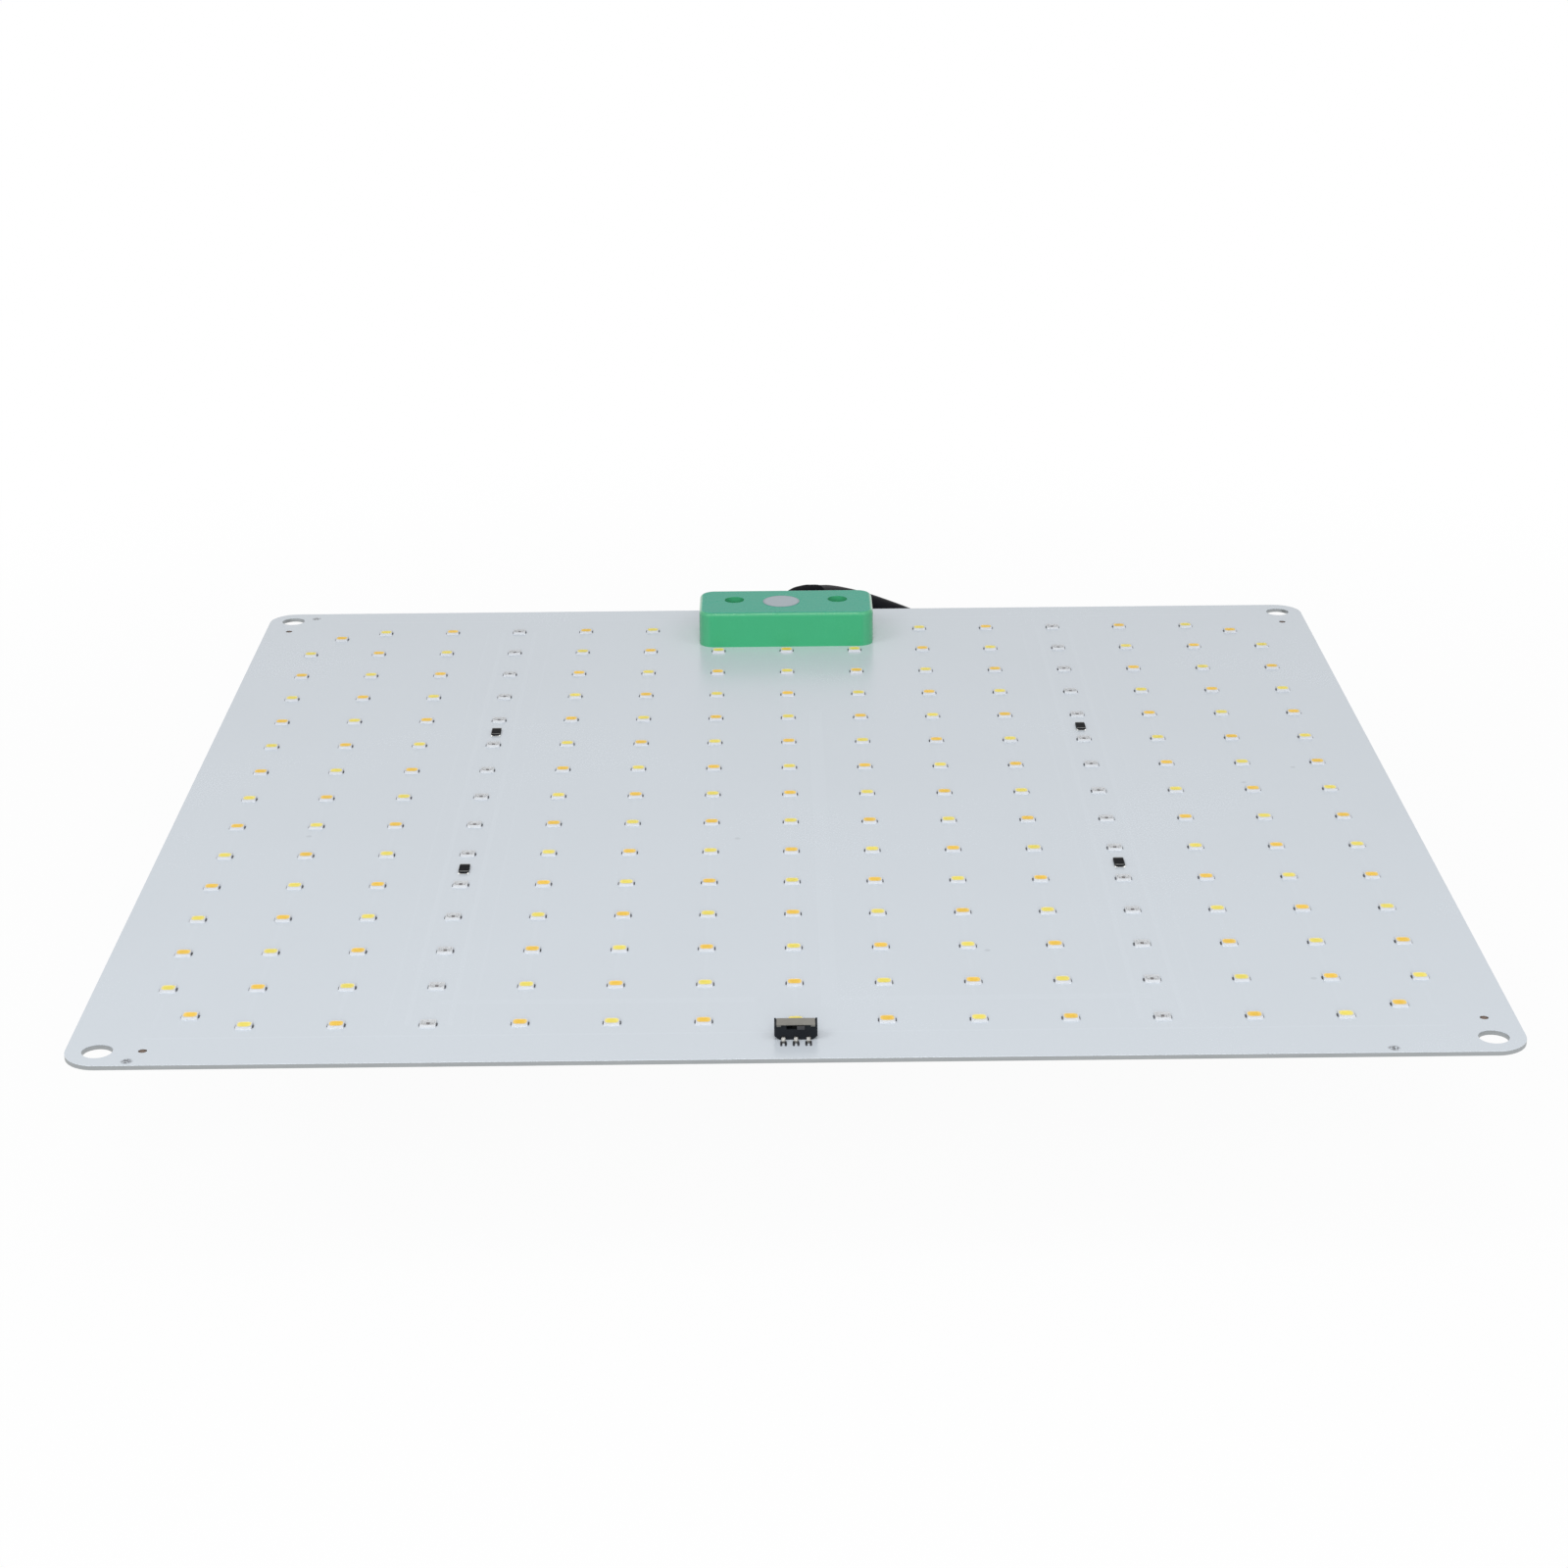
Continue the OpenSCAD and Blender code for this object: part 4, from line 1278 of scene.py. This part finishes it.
@dataclass
class MainsLead(Assembly):
    """The mains lead from its strain relief to the plug, put away in a coil.

    Sizes are in millimetres, apart from the declared length in metres, and angles are in degrees.
    Places are measured from the exit. The relief's neck is a row of distances from the exit with a
    radius for each. The plug's rim is a row of distances behind its face, each with a scale of the
    face and a corner radius. The tie goes round the turns found within its search angle.
    """

    diameter: float = 6.2
    cord_facets: int = 5
    cord_steps: int = 6
    declared_length: float = 1.5
    exit: Place = (1.0, 133.0, 5.0)
    relief_route: tuple[Place, ...] = (
        (0, 0.7, 0), (0.8, 5.2, 0), (2.4, 9.9, -0.2), (4.8, 14.9, -1.1), (6.3, 17.5, -1.8),
        (7.9, 19.9, -2.5),
    )
    lead_route: tuple[Place, ...] = (
        (9.5, 22.3, -3.2), (12, 26, -4.4), (15.1, 29.4, -6), (20.1, 33.1, -8.4),
        (27.3, 36.1, -11.8), (36.6, 37.7, -16.1), (46, 37.5, -20.8), (55, 35.1, -25.2),
        (64, 30, -30.4), (72, 22.9, -35.6), (78.5, 14.1, -40.4), (82.7, 4.5, -44.5),
        (84.5, -8.5, -48.1),
    )
    plug_route: tuple[Place, ...] = (
        (22, -48.1, -44.8), (9, -48.1, -44.5), (-3, -48.2, -43.4), (-14, -48.4, -42.2),
        (-21, -48.4, -42), (-27, -48.4, -42),
    )
    coil_middle: Pair = (37.1, -8.5)
    coil_radius: float = 46.5
    run_in: Place = (108, 46.8, -50.3)
    coil_start: float = 126.0
    lower_level: float = -51.1
    turn_pitch: float = 6.3
    lower_turns: float = 3.5
    upper_turns: float = 2.4
    climb: float = 90.0
    turn_step: float = 18.0
    relief_neck: tuple[Pair, ...] = ((-3.3, 3.35), (-0.2, 3.35), (0.02, 3.25), (0.3, 3.5))
    relief_radii: Pair = (3.5, 3.25)
    relief_steps: int = 40
    relief_sides: int = 28
    plug_face: Pair = (24.0, 26.0)
    plug_length: float = 30.0
    plug_corner: float = 4.9
    plug_corner_steps: int = 7
    plug_rim: tuple[Place, ...] = (
        (0.01, 0.93, 4.4), (0.25, 0.97, 4.7), (0.9, 0.995, 4.9), (7.6, 0.995, 4.95)
    )
    plug_crease: float = 35.0
    grip_start: float = 8.2
    grip_length: float = 20.8
    grip_scale: float = 0.985
    grip_narrowing: float = 0.265
    grip_steps: int = 40
    grip_end: tuple[Pair, ...] = ((0.4, 0.69), (0.0, 0.62))
    rib_count: int = 5
    rib_depth: float = 0.035
    rib_reach: Pair = (0.2, 0.65)
    boot_length: float = 22.0
    boot_radii: Pair = (6.4, 3.3)
    boot_gap: float = 0.05
    boot_round: float = 0.999
    boot_steps: int = 36
    groove_count: int = 6
    groove_depth: float = 0.3
    groove_reach: Pair = (0.06, 0.8)
    blade_edge: float = 0.3
    tie_angle: float = 342.0
    tie_width: float = 9.0
    tie_thickness: float = 0.7
    tie_roundness: float = 0.3
    tie_corner_steps: int = 2
    tie_search: float = 1.0
    tie_gap: float = 0.06
    tie_spacing: float = 1.0
    tie_facets: int = 36
    tie_tail: int = 30
    tie_tip: float = 0.35
    tie_crease: float = 50.0

    def point(self, place: Sequence[float]) -> Vector:
        """A place measured from the exit in millimetres, as a point of the part in metres."""
        return (Vector(self.exit) + Vector(place)) * MM

    def on_coil(self, angle: float, radius: float, level: float) -> Place:
        """Place on the coil at an angle clockwise from +Y, in degrees."""
        x, y, turn = *self.coil_middle, math.radians(angle)
        return (x + radius * math.sin(turn), y + radius * math.cos(turn), level)

    def route(self) -> list[Vector]:
        """The lead's middle line, from the cover's wall to the plug's boot.

        Returns:
            Points of the part, in metres.
        """
        places = [*self.relief_route, *self.lead_route, self.on_coil(*self.run_in)]
        angle, radius, level = self.coil_start, self.coil_radius, self.lower_level
        for i in range(round(self.lower_turns * 360 / self.turn_step) + 1):
            turned = i * self.turn_step
            inward = self.turn_pitch * turned / 360
            places.append(self.on_coil(angle + turned, radius - inward, level))
        angle += self.lower_turns * 360
        radius -= self.turn_pitch * self.lower_turns
        steps = round(self.climb / self.turn_step)
        for i in range(1, steps + 1):
            share = i / steps
            rise = self.turn_pitch * share * share * (3 - 2 * share)
            places.append(self.on_coil(angle + self.climb * share, radius, level + rise))
        angle += self.climb
        level += self.turn_pitch
        for i in range(1, round(self.upper_turns * 360 / self.turn_step) + 1):
            turned = i * self.turn_step
            outward = self.turn_pitch * turned / 360
            places.append(self.on_coil(angle + turned, radius + outward, level))
        return [self.point(place) for place in [*places, *self.plug_route]]

    def cord(self) -> Piece:
        """The lead as one round curve.

        Returns:
            The curve as an object.
        """
        points = self.route()
        curve = bpy.data.curves.new("mains_lead", "CURVE")
        curve.dimensions = "3D"
        curve.bevel_depth = self.diameter / 2 * MM
        curve.bevel_resolution = self.cord_facets
        curve.resolution_u = self.cord_steps
        spline = curve.splines.new("BEZIER")
        spline.bezier_points.add(len(points) - 1)
        for knot, point in zip(spline.bezier_points, points):
            knot.co = point
            knot.handle_left_type = knot.handle_right_type = "AUTO"
        curve.use_fill_caps = True
        return linked("mains_lead", curve)

    def strain_relief(self) -> Piece:
        """Tapered boot round the lead, with a neck in the cover's wall.

        Returns:
            The boot.
        """
        route = [self.point(place) for place in self.relief_route]
        root, tip = self.relief_radii
        points = [self.point((0, y, 0)) for y, _ in self.relief_neck]
        radii = [radius * MM for _, radius in self.relief_neck]
        for i in range(self.relief_steps + 1):
            share = i / self.relief_steps
            points.append(smooth_line(route, share))
            radii.append((root + (tip - root) * share) * MM)
        shape = bmesh.new()
        loft(shape, sweep(points, radii, self.relief_sides))
        return mesh_piece("strain_relief_boot", shape)

    def plug(self) -> Piece:
        """Moulded plug: a soft-edged face block, a waisted grip with ribs and a grooved boot.

        Returns:
            The plug.
        """
        end_x, end_y, end_z = self.plug_route[-1]
        boot_x = end_x - self.boot_length
        face_x = boot_x - self.plug_length

        def section(x: float, width: float, height: float, corner: float) -> Ring:
            """Rounded outline across the plug at x."""
            outline = rounded_outline(width, height, corner, self.plug_corner_steps)
            return [self.point((x, end_y + a, end_z + b)) for a, b in outline]

        def block(x: float, scale: float, corner: float = self.plug_corner) -> Ring:
            """Outline of the plug's face at x, scaled."""
            return section(x, self.plug_face[0] * scale, self.plug_face[1] * scale, corner)

        rings = [block(face_x + back, scale, corner) for back, scale, corner in self.plug_rim]
        for i in range(self.grip_steps + 1):
            share = i / self.grip_steps
            ribs = self.rib_depth * waves(share, *self.rib_reach, self.rib_count)
            x = face_x + self.grip_start + self.grip_length * share
            rings.append(block(x, self.grip_scale - self.grip_narrowing * share - ribs))
        rings += [block(boot_x - before, scale) for before, scale in self.grip_end]
        root, tip = self.boot_radii
        for i in range(self.boot_steps + 1):
            share = i / self.boot_steps
            grooves = self.groove_depth * waves(share, *self.groove_reach, self.groove_count)
            radius = root + (tip - root) * share - grooves
            x = boot_x + self.boot_gap + (self.boot_length - self.boot_gap) * share
            rings.append(section(x, 2 * radius, 2 * radius, radius * self.boot_round))
        shape = bmesh.new()
        loft(shape, rings)
        return mesh_piece("plug_moulding", shape, self.plug_crease)

    def tie_path(self) -> list[tuple[Vector, Vector]]:
        """The line of a strap drawn tight round the coil's turns, in the upright plane at the tie.

        Returns:
            Points as radius and level in millimetres, each with the direction away from the turns.
        """
        crossings = []
        for knot in self.route():
            place = knot / MM - Vector(self.exit)
            across = Vector((place.x - self.coil_middle[0], place.y - self.coil_middle[1]))
            angle = math.degrees(math.atan2(across.x, across.y))
            off = (angle - self.tie_angle + 180) % 360 - 180
            if abs(off) < self.tie_search and across.length < self.coil_radius:
                crossings.append(Vector((across.length, place.z)))
        reach = self.diameter / 2 + self.tie_gap + self.tie_thickness / 2
        turns = [Vector(turn) for turn in circle(self.tie_facets)]
        rim = [(centre + reach * out, out) for centre in crossings for out in turns]
        corners = [rim[i] for i in convex_hull_2d([point for point, _ in rim])]
        path = []
        for (point, out), (next_point, next_out) in zip(corners, corners[1:] + corners[:1]):
            steps = max(1, round((next_point - point).length / self.tie_spacing))
            for share in (i / steps for i in range(steps)):
                path.append((point.lerp(next_point, share), out.lerp(next_out, share).normalized()))
        outermost = Vector((1, 0))
        first = min(range(len(path)), key=lambda i: abs(path[i][1].angle_signed(outermost)))
        return path[first:] + path[:first]

    def tie(self) -> Piece:
        """Strap round the turns, with its free end lying on itself.

        Returns:
            The strap.
        """
        turn = math.radians(self.tie_angle)
        outward = Vector((math.sin(turn), math.cos(turn), 0))
        sideways = Vector((math.cos(turn), -math.sin(turn), 0))
        middle, up = Vector((*self.coil_middle, 0)), Vector((0, 0, 1))
        corner = self.tie_roundness * self.tie_thickness

        def section(point: Vector, out: Vector, lift: float, width: float) -> Ring:
            """Soft-edged cut through the strap.

            Args:
                point: Radius and level of the cut's middle.
                out: Direction away from the turns.
                lift: Distance moved in that direction.
                width: Width of the strap there.

            Returns:
                The points round the cut.
            """
            away = outward * out.x + up * out.y
            centre = middle + outward * point.x + up * point.y + away * lift
            outline = rounded_outline(width, self.tie_thickness, corner, self.tie_corner_steps)
            return [self.point(centre + sideways * a + away * b) for a, b in outline]

        path = self.tie_path()
        shape = bmesh.new()
        loft(shape, [section(*station, 0, self.tie_width) for station in path], endless=True)
        tail = []
        for i, station in enumerate(path[:self.tie_tail]):
            left = (self.tie_tail - 1 - i) * self.tie_spacing / (self.tie_width / 2)
            width = self.tie_width * (self.tie_tip + (1 - self.tie_tip) * min(1.0, left) ** 0.5)
            tail.append(section(*station, self.tie_thickness, width))
        loft(shape, tail)
        return mesh_piece("lead_tie", shape, self.tie_crease)

    def dress(self) -> None:
        painter, finishes = self.painter, self.finishes
        lead, plug, tie = self.cord(), self.plug(), self.tie()
        painter.add(lead, finishes.sheath, Slot.CORD, "power_cord", "cord_coil", "plug_lead")
        painter.add(self.strain_relief(), finishes.rubber, Slot.RUBBER, "strain_relief")
        painter.add(plug, finishes.plug, Slot.CORD, "plug_body")
        painter.solid("plug_blades", finishes.brass)
        painter.solid("plug_ground_pin", finishes.brass)
        painter.add(tie, finishes.strap, Slot.TIE, "cord_tie")
        soften("plug_blades", self.blade_edge * MM)


@dataclass(frozen=True)
class SoftBox:
    """A square soft light aimed at the part: its place and side in metres, its power in watts."""

    name: str
    place: Place
    side: float
    power: float
    mirrored: bool = True

    def hang(self) -> None:
        """Put the light in its place."""
        data = bpy.data.lights.new(self.name, "AREA")
        data.size = self.side
        data.energy = self.power
        lamp = linked(self.name, data)
        lamp.location = self.place
        lamp.visible_glossy = self.mirrored
        lamp.rotation_euler = (-Vector(self.place)).to_track_quat("-Z", "Y").to_euler()


@dataclass
class Studio:
    """White studio: a pale floor, soft boxes and the camera of the photograph, in metres."""

    floor_size: float = 6.0
    floor_gap: float = 0.05 * MM
    floor_colour: Colour = (0.9, 0.9, 0.9, 1.0)
    white_share: float = 0.95
    white_reach: Pair = (0.25, 0.55)
    fill: float = 0.36
    fill_colour: Colour = (0.96, 0.98, 1.0, 1.0)
    soft_boxes: tuple[SoftBox, ...] = (
        SoftBox("left_box", (-0.85, -0.6, 1.0), 0.6, 3.7),
        SoftBox("right_box", (0.85, -0.6, 1.0), 0.6, 2.0),
        SoftBox("front_box", (0.0, -1.2, 0.5), 0.8, 8.8, mirrored=False),
        SoftBox("top_box", (0.0, -0.45, 1.5), 0.45, 3.4),
    )
    camera_place: Place = (-0.004013, -0.695635, 0.268666)
    right: Place = (0.99994223, -0.00687378, -0.00826365)
    down: Place = (-0.01017045, -0.35626463, -0.93432975)
    forward: Place = (0.00347833, 0.93435982, -0.35631396)
    lens: float = 71.322
    sensor: float = 36.0
    clip: Pair = (0.01, 50.0)

    def seen(self, graph: Graph) -> Wire:
        """1 for a ray from the camera, or one that was mirrored or let through; else 0."""
        kinds = ("Is Camera Ray", "Is Glossy Ray", "Is Transmission Ray")
        return strongest(graph.node("ShaderNodeLightPath", output=kind) for kind in kinds)

    def floor(self) -> None:
        """Pale floor that shows white, keeps a soft shadow and is clear from below."""
        half, level = self.floor_size / 2, CAD_LOW.z - self.floor_gap
        sides = ((-1, -1), (1, -1), (1, 1), (-1, 1))
        shape = bmesh.new()
        shape.faces.new([shape.verts.new((x * half, y * half, level)) for x, y in sides])
        ground = mesh_piece("studio_floor", shape)
        graph = Graph.of_material("studio_white")
        matt = graph.node("ShaderNodeBsdfDiffuse", None, {"Color": self.floor_colour})
        glow = graph.node("ShaderNodeEmission", None, {"Color": WHITE, "Strength": 1.0})
        length = {"operation": "LENGTH"}
        away = graph.node("ShaderNodeVectorMath", length, {0: graph.place}, "Value")
        share = self.white_share + (1 - self.white_share) * away.rise(*self.white_reach)
        factor = self.seen(graph) * share
        above = graph.node("ShaderNodeMixShader", None, {0: factor, 1: matt, 2: glow})
        below = graph.node("ShaderNodeNewGeometry", output="Backfacing")
        clear = graph.node("ShaderNodeBsdfTransparent")
        both = graph.node("ShaderNodeMixShader", None, {0: below, 1: above, 2: clear})
        graph.end("ShaderNodeOutputMaterial", both)
        ground.data.materials.append(graph.owner)

    def world(self) -> None:
        """Even fill light from all round, seen as white."""
        world = bpy.data.worlds.new("studio_fill")
        bpy.context.scene.world = world
        graph = Graph(world)
        lit, white = (
            graph.node("ShaderNodeBackground", None, {"Color": colour, "Strength": strength})
            for colour, strength in ((self.fill_colour, self.fill), (WHITE, 1.0))
        )
        mixed = graph.node("ShaderNodeMixShader", None, {0: self.seen(graph), 1: lit, 2: white})
        graph.end("ShaderNodeOutputWorld", mixed)

    def camera(self) -> None:
        """The camera at the photograph's place."""
        data = bpy.data.cameras.new("photo_camera")
        data.lens = self.lens
        data.sensor_width = self.sensor
        data.clip_start, data.clip_end = self.clip
        thing = linked(data.name, data)
        axes = (Vector(self.right), -Vector(self.down), -Vector(self.forward))
        turn = Matrix(axes).transposed().to_4x4()
        thing.matrix_world = Matrix.Translation(Vector(self.camera_place)) @ turn
        bpy.context.scene.camera = thing

    def build(self) -> None:
        """Set up the whole studio."""
        bpy.context.scene.view_settings.view_transform = "Standard"
        self.floor()
        self.world()
        self.camera()
        for soft_box in self.soft_boxes:
            soft_box.hang()
        LOG.info("studio ready")


def main() -> None:
    """Build the studio and dress every sub-assembly."""
    logging.basicConfig(level=logging.INFO, format="%(message)s")
    painter, finishes = Painter(), Finishes()
    Studio().build()
    for assembly in (MainsLead, Board, LampField, SlideSwitch, Driver):
        assembly(painter, finishes).dress()


if __name__ == "__main__":
    main()
